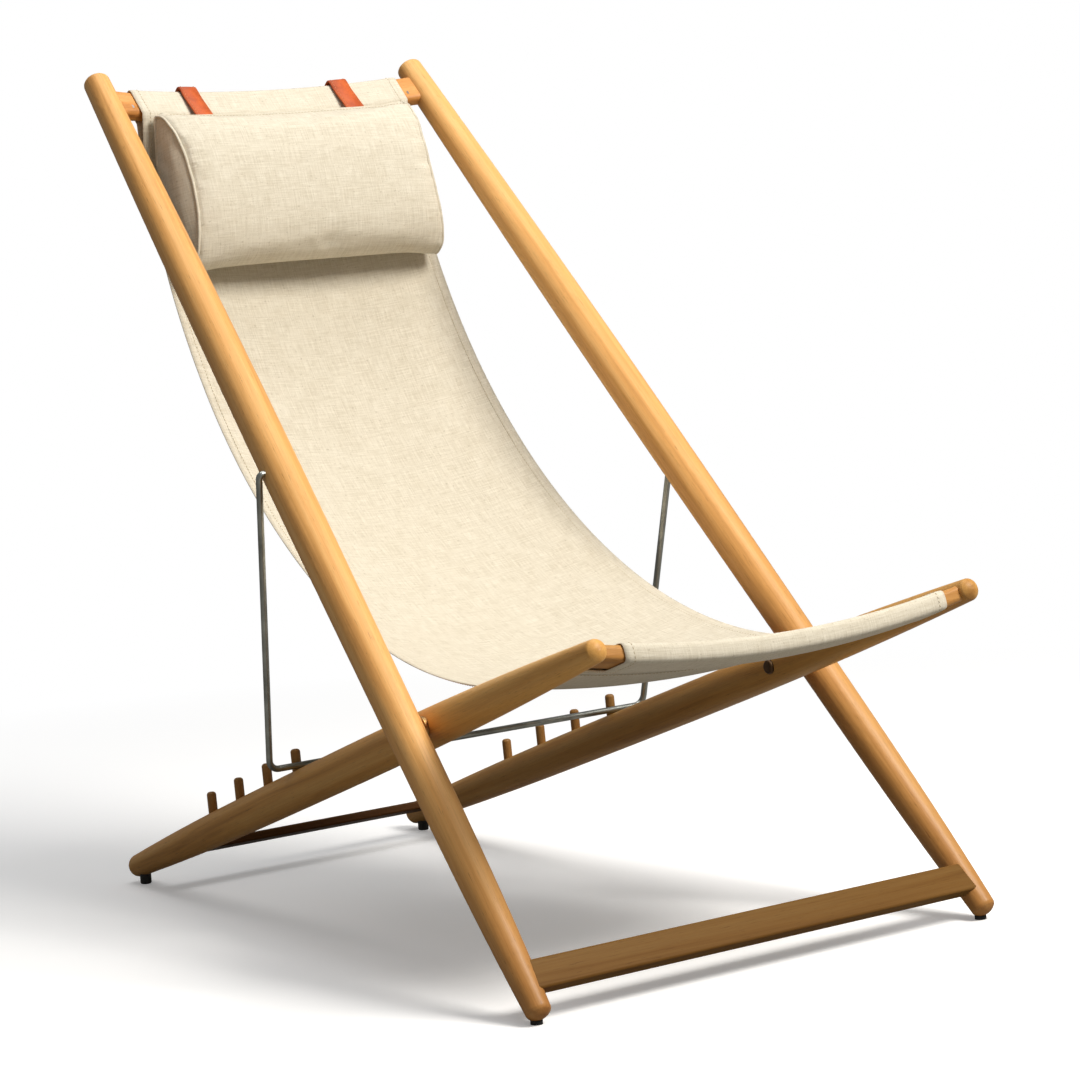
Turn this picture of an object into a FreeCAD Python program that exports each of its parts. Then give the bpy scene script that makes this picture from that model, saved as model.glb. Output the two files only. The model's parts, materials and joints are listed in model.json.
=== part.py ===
import FreeCAD, Part
import os
from math import asin, cos, degrees, radians, sin, sqrt

# Folding deck chair: a back frame and a seat frame of turned poles cross at two pivots, a steel
# bail props the back on a row of pegs, and a linen sling hangs between the two end rails.
# Millimetres and degrees. X runs across the chair, the front faces -Y, and Z is up.

# Back frame
BACK_LEG_LENGTH = 1246.0     # between the centres of its two rounded ends
BACK_LEAN = 46.8             # back legs above the floor
BACK_HALF_FOOT = 280.0       # half width of the frame at the feet, on the pole axes
BACK_HALF_TOP = 208.7        # half width of the frame at the top
BACK_FOOT_HEIGHT = 12.0      # pole end centre above the floor
BACK_POLE = [(0.0, 25.5), (0.1, 34.0), (0.27, 38.5), (0.55, 42.0), (0.8, 38.0), (1.0, 30.0)]

# Seat frame
SEAT_LEG_LENGTH = 1043.0
SEAT_SLOPE = 18.6            # seat legs above the floor
SEAT_SPLAY = 37.5            # how much wider the frame is at the front, each side
LEG_GAP = 2.49               # between a back leg and a seat leg at the pivot
SEAT_POLE = [(0.0, 26.0), (0.15, 36.0), (0.42, 41.5), (0.7, 40.5), (0.86, 34.0), (1.0, 23.0)]
POLE_DOME = 6.5              # height of the dome on every pole end
POLE_RIM = 5.0               # fillet round the dome's rim

# Pivot
PIVOT_UP_BACK = 333.0        # from the back leg's foot
PIVOT_UP_SEAT = 740.0        # from the seat leg's rear end
BOLT_RADIUS = 4.0
BOLT_HEAD_RADIUS = 7.5
BOLT_HEAD_HEIGHT = 4.0
BOLT_HEAD_ROUND = 2.8
WASHER_RADIUS = 10.5
SPOT_FACE_DEPTH = 1.0        # flat cut into a pole under a washer
HEAD_FACE_DEPTH = 2.0        # flat cut into a pole under a bolt head
FACE_MARGIN = 1.0            # how much wider a flat is than what sits on it, radially
HEAD_WAY = 12.0              # how far a bolt head's way is cut clear of the pole
INSERT_RADIUS = 6.0
INSERT_LENGTH = 16.0
RUNNING_CLEARANCE = 0.05     # radial, between a shaft and its hole
SIDE_CLEARANCE = 0.3         # between faces that slide past each other

# Rails and stretchers: sections, places along the poles, and bows
RAIL_WIDTH = 36.0
RAIL_THICKNESS = 16.0
RAIL_CORNER = 5.0
TOP_RAIL_AT = 1210.0         # from the back leg's foot
TOP_RAIL_BOW = 15.0
FRONT_RAIL_AT = 1022.0       # from the seat leg's rear end
FRONT_RAIL_BOW = 20.0
FRONT_STRETCHER_AT = 34.0
FRONT_STRETCHER_OUT = 6.0    # in front of the pole axes
FRONT_STRETCHER_WIDTH = 32.5
FRONT_STRETCHER_THICKNESS = 14.0
REAR_STRETCHER_AT = 68.0
REAR_STRETCHER_WIDTH = 30.0
REAR_STRETCHER_THICKNESS = 10.0
STRETCHER_CORNER = 2.5
RAIL_TENON_RADIUS = 5.0
FRONT_TENON_RADIUS = 4.5
REAR_TENON_RADIUS = 3.5
TENON_ROOT = 4.0             # how far a tenon starts inside its board
TENON_PAST_AXIS = 4.0        # how far it runs past the pole's axis
GLUE_GAP = 1.0               # at the blind end of a tenon's hole

# Prop bail and its pegs
BAIL_UP_BACK = 670.0         # bail hinge, from the back leg's foot
BAIL_RADIUS = 3.5
BAIL_STAND_OFF = 6.3         # rod centre off the back leg's face
BAIL_TAPER = 22.5            # how far each arm runs in towards the bar
BAIL_HOLE_DEPTH = 13.0
BAIL_BEND_TOP = 5.0
BAIL_BEND_BAR = 12.0
PEG_COUNT = 4
PEG_FIRST = 217.0            # rearmost peg, from the seat leg's rear end
PEG_PITCH = 71.0
PEG_RADIUS = 5.25
PEG_PROUD = 23.0
PEG_DEPTH = 12.0
PEG_LEAN = 15.0              # towards the front, off square to the pole
PEG_CROWN = 3.5
BAR_CLEARANCE = 0.2          # between the bail's bar and what it rests on

# Feet
GLIDE_RADIUS = 6.0
GLIDE_THICKNESS = 4.0
GLIDE_PIN_RADIUS = 1.5
GLIDE_PIN_LENGTH = 12.0
TRIM_SIZE = 200.0            # edge of the block cut from under a back leg to let it stand flat
REAR_FOOT_AT = 17.0
REAR_FOOT_RADIUS = 6.5
REAR_FOOT_ROUND = 2.0
REAR_FOOT_PIN_RADIUS = 3.0
REAR_FOOT_PIN_LENGTH = 9.0

# Sling
CLOTH = 2.0
CLOTH_CLEARANCE = 0.4
SLEEVE_MOUTH = 5.0           # how far past a sleeve's ends its hollow is cut
SLING_INSIDE_TOP = 34.36     # side edge, inside the back poles' axes
SLING_INSIDE_FRONT = 31.24   # side edge, inside the seat poles' axes
SLING_TOP_HANDLE = 388.0     # how far the cloth keeps its direction as it leaves the top rail
SLING_TOP_ANGLE = -98.7
SLING_FRONT_HANDLE = 439.0
SLING_FRONT_ANGLE = -24.3
SLING_BELLY = 30.0           # how far the middle hangs below the edges half way along
SLING_STATIONS = 9

# Head pillow and its straps
PILLOW_PAST = 1.5            # end of the pillow, outside the sling's edge
PILLOW_SEAM = (-10.0, 24.0)  # outline points: down from the rail, forward of the sling's edge
PILLOW_BROW = (32.0, 55.0)
PILLOW_FRONT = (96.0, 64.0)
PILLOW_CHIN = (148.0, 53.0)
PILLOW_UNDER = (176.0, 36.0)
PILLOW_TUCK = (186.0, 19.0)
PILLOW_FOOT = (179.0, 3.0)
PILLOW_BACK = (46.0, 3.0)
PILLOW_MIDDLE = (95.0, 32.0)
PILLOW_CLOTH = 2.0
PILLOW_DRAW_IN = 1.5         # how many cloths thick the cover is towards its outline's middle
PILLOW_CHORD = 0.16          # share of the sling's curve that the pillow's flat back spans
STRAP_WIDTH = 23.0
STRAP_THICKNESS = 2.5
STRAP_SPREAD = 100.0         # strap centre from the middle of the chair
STRAP_BEND = 6.0
STRAP_FRONT_REACH = 62.0     # below the top rail's centre, into the pillow's seam
STRAP_REAR_REACH = 15.0
STRAP_CLEARANCE = 1.1        # the flat strap spans a little of the rail's bow
STUD_AT = 6.0                # below the top rail's centre
STUD_HEAD_RADIUS = 5.0
STUD_HEAD_HEIGHT = 2.2
STUD_HEAD_ROUND = 1.76
STUD_SHANK_RADIUS = 1.5
STUD_SHANK_LENGTH = 15.0
SCREW_PAST_SLING = 8.0       # outside the sling's edge
SCREW_BELOW = 8.0            # below the top rail's centre
SCREW_HEAD_RADIUS = 2.8
SCREW_HEAD_HEIGHT = 1.6
SCREW_SHANK_RADIUS = 1.4
SCREW_SHANK_LENGTH = 11.0

Vec = FreeCAD.Vector
ACROSS = Vec(1, 0, 0)
UP = Vec(0, 0, 1)
SIDES = [("left", -1), ("right", 1)]


class LegFrame:
    """A pair of poles: a start on the centre line, a direction along, and one square to it."""

    def __init__(self, start, along, out, length, half_start, half_end, profile):
        self.start = start
        self.along = along
        self.out = out
        self.length = length
        self.half_start = half_start
        self.half_end = half_end
        self.profile = profile

    def point(self, x, along, out=0.0):
        return self.start + ACROSS * x + self.along * along + self.out * out

    def half_width(self, along):
        return self.half_start + (self.half_end - self.half_start) * along / self.length

    def pole_curve(self):
        slant = sqrt(self.length ** 2 + (self.half_end - self.half_start) ** 2)
        points = [Vec(diameter / 2, 0, share * slant) for share, diameter in self.profile]
        curve = Part.BSplineCurve()
        curve.interpolate(points)
        return curve, slant

    def pole_radius(self, along):
        curve, slant = self.pole_curve()
        level = slant * along / self.length
        cut = Part.LineSegment(Vec(0, 0, level), Vec(self.length, 0, level))
        return curve.intersect(cut)[0].X

    def rotation(self):
        return FreeCAD.Rotation(self.along, self.out, self.along.cross(self.out), "XYZ")


def side_direction(angle):
    return Vec(0, cos(radians(angle)), sin(radians(angle)))


def make_frames():
    back_start = Vec(0, 0, BACK_FOOT_HEIGHT)
    back_along = side_direction(BACK_LEAN)
    back_out = side_direction(BACK_LEAN + 90)
    back = LegFrame(back_start, back_along, back_out, BACK_LEG_LENGTH,
                    BACK_HALF_FOOT, BACK_HALF_TOP, BACK_POLE)
    pivot = back.point(0, PIVOT_UP_BACK)
    seat_along = side_direction(180 - SEAT_SLOPE)
    seat_out = side_direction(90 - SEAT_SLOPE)
    seat_start = pivot - seat_along * PIVOT_UP_SEAT
    seat = LegFrame(seat_start, seat_along, seat_out, SEAT_LEG_LENGTH, 0, SEAT_SPLAY, SEAT_POLE)
    inside = back.half_width(PIVOT_UP_BACK) - back.pole_radius(PIVOT_UP_BACK) - LEG_GAP
    spread = inside - seat.pole_radius(PIVOT_UP_SEAT) - seat.half_width(PIVOT_UP_SEAT)
    seat.half_start += spread
    seat.half_end += spread
    return back, seat, pivot


def turned_pole(frame, side):
    """A round pole, thickest in the middle, with a low dome on each end."""
    bottom = frame.point(side * frame.half_start, 0)
    top = frame.point(side * frame.half_end, frame.length)
    curve, slant = frame.pole_curve()
    low_rim = curve.StartPoint
    high_rim = curve.EndPoint
    low_tip = Vec(0, 0, -POLE_DOME)
    high_tip = Vec(0, 0, slant + POLE_DOME)
    low_dome = Part.Arc(low_tip, dome_middle(low_rim, low_tip), low_rim)
    high_dome = Part.Arc(high_rim, dome_middle(high_rim, high_tip), high_tip)
    axis = Part.LineSegment(high_tip, low_tip)
    outline = Part.Wire([low_dome.toShape(), curve.toShape(), high_dome.toShape(), axis.toShape()])
    pole = Part.Face(outline).revolve(Vec(0, 0, 0), UP, 360)
    rims = rim_at(pole, Vec(0, 0, 0)) + rim_at(pole, Vec(0, 0, slant))
    pole = pole.makeFillet(POLE_RIM, rims)
    turn = FreeCAD.Rotation(UP, top - bottom)
    pole.rotate(Vec(0, 0, 0), turn.Axis, degrees(turn.Angle))
    pole.translate(bottom)
    return pole


def dome_middle(rim, tip):
    """The point half way along a spherical dome's arc, from its rim to its tip on the axis."""
    height = abs(tip.z - rim.z)
    radius = (rim.x ** 2 + height ** 2) / (2 * height)
    half_turn = asin(rim.x / radius) / 2
    rise = height - radius * (1 - cos(half_turn))
    return Vec(radius * sin(half_turn), 0, rim.z + rise * (1 if tip.z > rim.z else -1))


def rod(start, direction, length, radius):
    return Part.makeCylinder(radius, length, start, direction)


def rim_at(solid, centre):
    """The round edges of a solid about a centre."""
    return [edge for edge in solid.Edges if edge.Closed and (edge.CenterOfMass - centre).Length < 0.1]


def rounded_section(width, thickness, corner):
    """A rounded rectangle about the origin, its width along X and its thickness along Y."""
    a = width / 2
    b = thickness / 2
    edges = []
    corners = [(a, b, 0), (-a, b, 90), (-a, -b, 180), (a, -b, 270)]
    arcs = []
    for x, y, turn in corners:
        centre = Vec(x - corner * (1 if x > 0 else -1), y - corner * (1 if y > 0 else -1), 0)
        ends = []
        for step in (0, 45, 90):
            angle = radians(turn + step)
            ends.append(centre + Vec(corner * cos(angle), corner * sin(angle), 0))
        arcs.append(ends)
    for number, ends in enumerate(arcs):
        following = arcs[(number + 1) % len(arcs)]
        edges.append(Part.Arc(ends[0], ends[1], ends[2]).toShape())
        edges.append(Part.LineSegment(ends[2], following[0]).toShape())
    return Part.Face(Part.Wire(edges))


def straight_board(frame, along, out, half_length, width, thickness):
    section = rounded_section(width, thickness, STRETCHER_CORNER)
    section.Placement = FreeCAD.Placement(frame.point(-half_length, along, out), frame.rotation())
    return section.extrude(ACROSS * (2 * half_length))


def bow_radius(half_length, bow):
    return (half_length ** 2 + bow ** 2) / (2 * bow)


def bow_drop(x, half_length, bow):
    """How far a bowed board's centre line lies behind its ends, at x across the chair."""
    radius = bow_radius(half_length, bow)
    return bow - radius + sqrt(radius ** 2 - x ** 2)


def bowed_board(frame, along, half_length, bow, reach, width, thickness, corner):
    """A board bent to an arc: its ends lie in the frame's plane, its middle a bow behind it."""
    radius = bow_radius(half_length, bow)
    centre = frame.point(0, along, radius - bow)
    spread = degrees(asin(reach / radius))
    section = rounded_section(width, thickness, corner)
    section.Placement = FreeCAD.Placement(frame.point(0, along, -bow), frame.rotation())
    section.rotate(centre, frame.along, -spread)
    return section.revolve(centre, frame.along, 2 * spread)


def tenons(frame, along, out, half_width, pole_radius, radius, extra=0.0):
    """Round tenons on both ends of a board, from just inside it to past the pole's axis."""
    start = half_width - pole_radius - TENON_ROOT
    length = pole_radius + TENON_ROOT + TENON_PAST_AXIS + extra
    pieces = []
    for _, side in SIDES:
        pieces.append(rod(frame.point(side * start, along, out), ACROSS * side, length, radius))
    return pieces


def fit_board(board, poles, frame, along, out, radius):
    """Copes a board to its two poles, gives it tenons, and drills the poles for them."""
    half_width = frame.half_width(along)
    pole_radius = frame.pole_radius(along)
    for _, side in SIDES:
        board = board.cut(poles[side])
    for piece in tenons(frame, along, out, half_width, pole_radius, radius):
        board = board.fuse(piece)
    board = board.removeSplitter()
    holes = tenons(frame, along, out, half_width, pole_radius, radius, GLUE_GAP)
    for hole, (_, side) in zip(holes, SIDES):
        poles[side] = poles[side].cut(hole)
    return board


def rounded_path(points, radii):
    """A wire of straight runs through the points, with an arc of the given radius at each turn."""
    edges = []
    start = points[0]
    for number in range(1, len(points) - 1):
        corner = points[number]
        arriving = (corner - points[number - 1]).normalize()
        leaving = (points[number + 1] - corner).normalize()
        turn = arriving.getAngle(leaving)
        radius = radii[number - 1]
        setback = radius * sin(turn / 2) / cos(turn / 2)
        first = corner - arriving * setback
        last = corner + leaving * setback
        inward = (leaving - arriving).normalize()
        middle = corner + inward * (radius / cos(turn / 2) - radius)
        edges.append(Part.LineSegment(start, first).toShape())
        edges.append(Part.Arc(first, middle, last).toShape())
        start = last
    edges.append(Part.LineSegment(start, points[-1]).toShape())
    return Part.Wire(edges)


def sweep(path, section):
    return path.makePipeShell([section], True, False)


def make_pivots(back, seat, pivot, poles, seat_poles, parts):
    """Bolts through the seat legs into threaded inserts in the back legs, with spacer washers."""
    back_half = back.half_width(PIVOT_UP_BACK)
    seat_half = seat.half_width(PIVOT_UP_SEAT)
    back_flat = back_half - back.pole_radius(PIVOT_UP_BACK) + SPOT_FACE_DEPTH
    seat_flat = seat_half + seat.pole_radius(PIVOT_UP_SEAT) - SPOT_FACE_DEPTH
    head_flat = seat_half - seat.pole_radius(PIVOT_UP_SEAT) + HEAD_FACE_DEPTH
    head_face = head_flat - SIDE_CLEARANCE
    face_radius = WASHER_RADIUS + FACE_MARGIN
    head_way = head_flat - HEAD_WAY
    for name, side in SIDES:
        outward = ACROSS * side

        def at(x):
            return pivot + outward * x

        poles[side] = poles[side].cut(rod(at(seat_half), outward, back_flat - seat_half, face_radius))
        poles[side] = poles[side].cut(rod(at(back_flat), outward, INSERT_LENGTH + GLUE_GAP, INSERT_RADIUS))
        pole = seat_poles[side]
        pole = pole.cut(rod(at(seat_flat), outward, back_half - seat_flat, face_radius))
        pole = pole.cut(rod(at(head_way), outward, HEAD_WAY, BOLT_HEAD_RADIUS + FACE_MARGIN))
        pole = pole.cut(rod(at(head_way), outward, back_half - head_way, BOLT_RADIUS + RUNNING_CLEARANCE))
        seat_poles[side] = pole
        shank = rod(at(head_face), outward, back_flat + INSERT_LENGTH - head_face, BOLT_RADIUS)
        head = rod(at(head_face), -outward, BOLT_HEAD_HEIGHT, BOLT_HEAD_RADIUS)
        head = head.makeFillet(BOLT_HEAD_ROUND, rim_at(head, at(head_face - BOLT_HEAD_HEIGHT)))
        parts[name + "_pivot_bolt"] = head.fuse(shank).removeSplitter()
        insert = rod(at(back_flat), outward, INSERT_LENGTH, INSERT_RADIUS)
        parts[name + "_pivot_insert"] = insert.cut(rod(at(back_flat), outward, INSERT_LENGTH, BOLT_RADIUS))
        thickness = back_flat - seat_flat - SIDE_CLEARANCE
        washer = rod(at(back_flat), -outward, thickness, WASHER_RADIUS)
        parts[name + "_pivot_washer"] = washer.cut(rod(at(back_flat), -outward, thickness, BOLT_RADIUS))


def make_pegs(seat, seat_poles, parts):
    """Round pegs that stop the bail, leaning forward, with crowned tops."""
    lean = (seat.out * cos(radians(PEG_LEAN)) + seat.along * sin(radians(PEG_LEAN))).normalize()
    for name, side in SIDES:
        for number in range(PEG_COUNT):
            along = PEG_FIRST + number * PEG_PITCH
            surface = seat.pole_radius(along)
            base = seat.point(side * seat.half_width(along), along, surface)
            start = base - lean * PEG_DEPTH
            peg = rod(start, lean, PEG_DEPTH + PEG_PROUD, PEG_RADIUS)
            top = start + lean * (PEG_DEPTH + PEG_PROUD)
            seat_poles[side] = seat_poles[side].cut(peg)
            parts["%s_peg_%d" % (name, number + 1)] = peg.makeFillet(PEG_CROWN, rim_at(peg, top))


def make_bail(back, seat, poles):
    """A steel rod bent to a U: its ends turn in the back legs and its bar lies on the seat legs."""
    hinge = back.point(0, BAIL_UP_BACK)
    last_peg = PEG_FIRST + (PEG_COUNT - 1) * PEG_PITCH
    rise = seat.pole_radius(last_peg) + BAIL_RADIUS + BAR_CLEARANCE
    lean = radians(PEG_LEAN)
    ahead = (rise - seat.pole_radius(last_peg)) * sin(lean) / cos(lean)
    ahead += (PEG_RADIUS + BAIL_RADIUS + BAR_CLEARANCE) / cos(lean)
    bar = seat.point(0, last_peg + ahead, rise)
    face = back.half_width(BAIL_UP_BACK) + back.pole_radius(BAIL_UP_BACK)
    inner = face - BAIL_HOLE_DEPTH
    half_top = face + BAIL_STAND_OFF
    half_bar = half_top - BAIL_TAPER
    points = [hinge - ACROSS * inner, hinge - ACROSS * half_top, bar - ACROSS * half_bar,
              bar + ACROSS * half_bar, hinge + ACROSS * half_top, hinge + ACROSS * inner]
    path = rounded_path(points, [BAIL_BEND_TOP, BAIL_BEND_BAR, BAIL_BEND_BAR, BAIL_BEND_TOP])
    section = Part.Wire(Part.Circle(points[0], ACROSS, BAIL_RADIUS).toShape())
    for _, side in SIDES:
        start = hinge + ACROSS * (side * (inner - GLUE_GAP))
        hole = rod(start, ACROSS * side, GLUE_GAP + BAIL_HOLE_DEPTH + BAIL_STAND_OFF,
                   BAIL_RADIUS + RUNNING_CLEARANCE)
        poles[side] = poles[side].cut(hole)
    return sweep(path, section), hinge, bar


def make_front_glides(poles, parts):
    """A small disc with a nail under each back leg, standing flat on the floor."""
    for name, side in SIDES:
        foot = poles[side].slice(UP, GLIDE_THICKNESS)
        patch = Part.Face(max(foot, key=lambda wire: wire.Length)).CenterOfMass
        centre = Vec(patch.x, patch.y, 0)
        below = Part.makeBox(TRIM_SIZE, TRIM_SIZE, TRIM_SIZE,
                             centre - Vec(TRIM_SIZE / 2, TRIM_SIZE / 2, TRIM_SIZE - GLIDE_THICKNESS))
        poles[side] = poles[side].cut(below)
        disc = rod(centre, UP, GLIDE_THICKNESS, GLIDE_RADIUS)
        pin = rod(centre, UP, GLIDE_THICKNESS + GLIDE_PIN_LENGTH, GLIDE_PIN_RADIUS)
        poles[side] = poles[side].cut(pin)
        parts[name + "_front_glide"] = disc.fuse(pin).removeSplitter()


def make_rear_feet(seat, seat_poles, parts):
    """A rubber foot pushed into the underside of each seat leg, near its rear end."""
    for name, side in SIDES:
        axis = seat.point(side * seat.half_width(REAR_FOOT_AT), REAR_FOOT_AT)
        centre = Vec(axis.x, axis.y, 0)
        pin = rod(centre, UP, axis.z - seat.pole_radius(REAR_FOOT_AT) + REAR_FOOT_PIN_LENGTH,
                  REAR_FOOT_PIN_RADIUS)
        foot = rod(centre, UP, axis.z, REAR_FOOT_RADIUS)
        foot = foot.makeFillet(REAR_FOOT_ROUND, rim_at(foot, centre)).cut(seat_poles[side])
        parts[name + "_rear_foot"] = foot.fuse(pin).removeSplitter()
        seat_poles[side] = seat_poles[side].cut(pin)


def sling_sleeve(frame, along, bow, reach, clearance):
    """The solid inside a sleeve's skin: the bowed rail grown by a clearance on every face."""
    grow = 2 * clearance
    return bowed_board(frame, along, frame.half_width(along), bow, reach,
                       RAIL_WIDTH + grow, RAIL_THICKNESS + grow, RAIL_CORNER + clearance)


def sling_half_widths(back, seat):
    """Half the sling's width at the top rail and at the front rail."""
    top = back.half_width(TOP_RAIL_AT) - SLING_INSIDE_TOP
    front = seat.half_width(FRONT_RAIL_AT) - SLING_INSIDE_FRONT
    return top, front


def sling_edge(back, seat):
    """The four control points of the sling's side edge, and the sag of its middle at both ends."""
    sling_top, sling_front = sling_half_widths(back, seat)
    skin = RAIL_THICKNESS / 2 + CLOTH_CLEARANCE + CLOTH / 2
    top_half = back.half_width(TOP_RAIL_AT)
    front_half = seat.half_width(FRONT_RAIL_AT)
    top_drop = bow_drop(sling_top, top_half, TOP_RAIL_BOW)
    front_drop = bow_drop(sling_front, front_half, FRONT_RAIL_BOW)
    start = back.point(0, TOP_RAIL_AT - RAIL_WIDTH / 2, -top_drop - skin)
    end = seat.point(0, FRONT_RAIL_AT - RAIL_WIDTH / 2, -front_drop + skin)
    controls = [start, start + side_direction(SLING_TOP_ANGLE) * SLING_TOP_HANDLE,
                end + side_direction(SLING_FRONT_ANGLE) * SLING_FRONT_HANDLE, end]
    top_sag = back.out * (top_drop - TOP_RAIL_BOW)
    front_sag = seat.out * (front_drop - FRONT_RAIL_BOW)
    return controls, top_sag, front_sag


def bezier_point(controls, t):
    a, b, c, d = controls
    s = 1 - t
    return a * s ** 3 + b * (3 * s * s * t) + c * (3 * s * t * t) + d * t ** 3


def sling_station(controls, top_sag, front_sag, t):
    """The edge point and the sag vector of the sling at a share t of its curve."""
    run = bezier_point(controls, 0.51) - bezier_point(controls, 0.49)
    belly = ACROSS.cross(run).normalize() * SLING_BELLY
    peak = (belly - (top_sag + front_sag) * 0.25) * 2
    s = 1 - t
    sag = top_sag * (s * s) + peak * (2 * s * t) + front_sag * (t * t)
    return bezier_point(controls, t), sag


def make_sling(back, seat):
    """One cloth: a sleeve round each end rail and a sheet that hangs between them."""
    controls, top_sag, front_sag = sling_edge(back, seat)
    half_top, half_front = sling_half_widths(back, seat)
    wires = []
    for number in range(SLING_STATIONS):
        t = number / (SLING_STATIONS - 1)
        edge, sag = sling_station(controls, top_sag, front_sag, t)
        half = half_top + (half_front - half_top) * t
        shift = sag * (CLOTH / 2 / sag.Length)
        left = edge - ACROSS * half
        right = edge + ACROSS * half
        middle = edge + sag
        upper = Part.Arc(left - shift, middle - shift, right - shift).toShape()
        lower = Part.Arc(right + shift, middle + shift, left + shift).toShape()
        sides = [Part.LineSegment(right - shift, right + shift).toShape(),
                 Part.LineSegment(left + shift, left - shift).toShape()]
        wires.append(Part.Wire([upper, sides[0], lower, sides[1]]))
    sling = Part.makeLoft(wires, True, False)
    ends = [(back, TOP_RAIL_AT, TOP_RAIL_BOW, half_top),
            (seat, FRONT_RAIL_AT, FRONT_RAIL_BOW, half_front)]
    for frame, along, bow, reach in ends:
        sling = sling.fuse(sling_sleeve(frame, along, bow, reach, CLOTH_CLEARANCE + CLOTH))
    for frame, along, bow, reach in ends:
        sling = sling.cut(sling_sleeve(frame, along, bow, reach + SLEEVE_MOUTH, CLOTH_CLEARANCE))
    return sling


def make_pillow(back, seat):
    """A bolster with a flat back, hung in front of the sling: a sewn cover and its filling."""
    controls, _, _ = sling_edge(back, seat)
    top = controls[0]
    down = (bezier_point(controls, PILLOW_CHORD) - top).normalize()
    forward = down.cross(ACROSS)
    pillow_half = sling_half_widths(back, seat)[0] + PILLOW_PAST

    def solid(inset):
        """The pillow with every outline point drawn in towards its middle by the inset."""
        middle = top + down * PILLOW_MIDDLE[0] + forward * PILLOW_MIDDLE[1]
        half_width = pillow_half - inset
        places = []
        for below, ahead in (PILLOW_SEAM, PILLOW_BROW, PILLOW_FRONT, PILLOW_CHIN, PILLOW_UNDER,
                             PILLOW_TUCK, PILLOW_FOOT, PILLOW_BACK):
            place = top + down * below + forward * ahead
            place += (middle - place).normalize() * (PILLOW_DRAW_IN * inset)
            places.append(place - ACROSS * half_width)
        seam, brow, front, chin, under, tuck, foot, back_top = places
        edges = [Part.Arc(seam, brow, front), Part.Arc(front, chin, under), Part.Arc(under, tuck, foot),
                 Part.LineSegment(foot, back_top), Part.LineSegment(back_top, seam)]
        outline = Part.Wire([edge.toShape() for edge in edges])
        return Part.Face(outline).extrude(ACROSS * (2 * half_width))

    return solid(0), solid(PILLOW_CLOTH)


def make_straps(back, parts, pillow):
    """Leather straps over the top rail, sewn into the pillow's seam and studded behind the rail."""
    half_width = back.half_width(TOP_RAIL_AT)
    drop = bow_drop(STRAP_SPREAD, half_width, TOP_RAIL_BOW)
    skin = CLOTH_CLEARANCE + CLOTH + STRAP_CLEARANCE + STRAP_THICKNESS / 2
    ahead = RAIL_THICKNESS / 2 + skin
    above = RAIL_WIDTH / 2 + skin
    shanks = []
    for name, side in SIDES:
        x = side * STRAP_SPREAD
        corners = [(-STRAP_FRONT_REACH, ahead), (above, ahead), (above, -ahead),
                   (-STRAP_REAR_REACH, -ahead)]
        points = [back.point(x, TOP_RAIL_AT + along, out - drop) for along, out in corners]
        path = rounded_path(points, [STRAP_BEND, STRAP_BEND])
        half = STRAP_THICKNESS / 2
        across = ACROSS * (STRAP_WIDTH / 2)
        out = back.out * half
        start = points[0]
        section = Part.makePolygon([start - across - out, start + across - out, start + across + out,
                                    start - across + out, start - across - out])
        strap = sweep(path, section)
        surface = back.point(x, TOP_RAIL_AT - STUD_AT, -ahead - half - drop)
        shank = rod(surface, back.out, STUD_SHANK_LENGTH, STUD_SHANK_RADIUS)
        head = rod(surface, -back.out, STUD_HEAD_HEIGHT, STUD_HEAD_RADIUS)
        cap = surface - back.out * STUD_HEAD_HEIGHT
        head = head.makeFillet(STUD_HEAD_ROUND, rim_at(head, cap))
        parts[name + "_strap"] = strap.cut(pillow).cut(shank)
        parts[name + "_strap_stud"] = head.fuse(shank).removeSplitter()
        shanks.append(shank)
    return shanks


def make_rail_screws(back, seat, parts):
    """A small screw through the bare end of the top rail, just outside the sling."""
    screw_at = sling_half_widths(back, seat)[0] + SCREW_PAST_SLING
    drop = bow_drop(screw_at, back.half_width(TOP_RAIL_AT), TOP_RAIL_BOW)
    solids = []
    for name, side in SIDES:
        face = back.point(side * screw_at, TOP_RAIL_AT - SCREW_BELOW, RAIL_THICKNESS / 2 - drop)
        head = rod(face, -back.out, SCREW_HEAD_HEIGHT, SCREW_HEAD_RADIUS)
        shank = rod(face, -back.out, SCREW_SHANK_LENGTH, SCREW_SHANK_RADIUS)
        screw = head.fuse(shank).removeSplitter()
        parts[name + "_rail_screw"] = screw
        solids.append(screw)
    return solids


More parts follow.
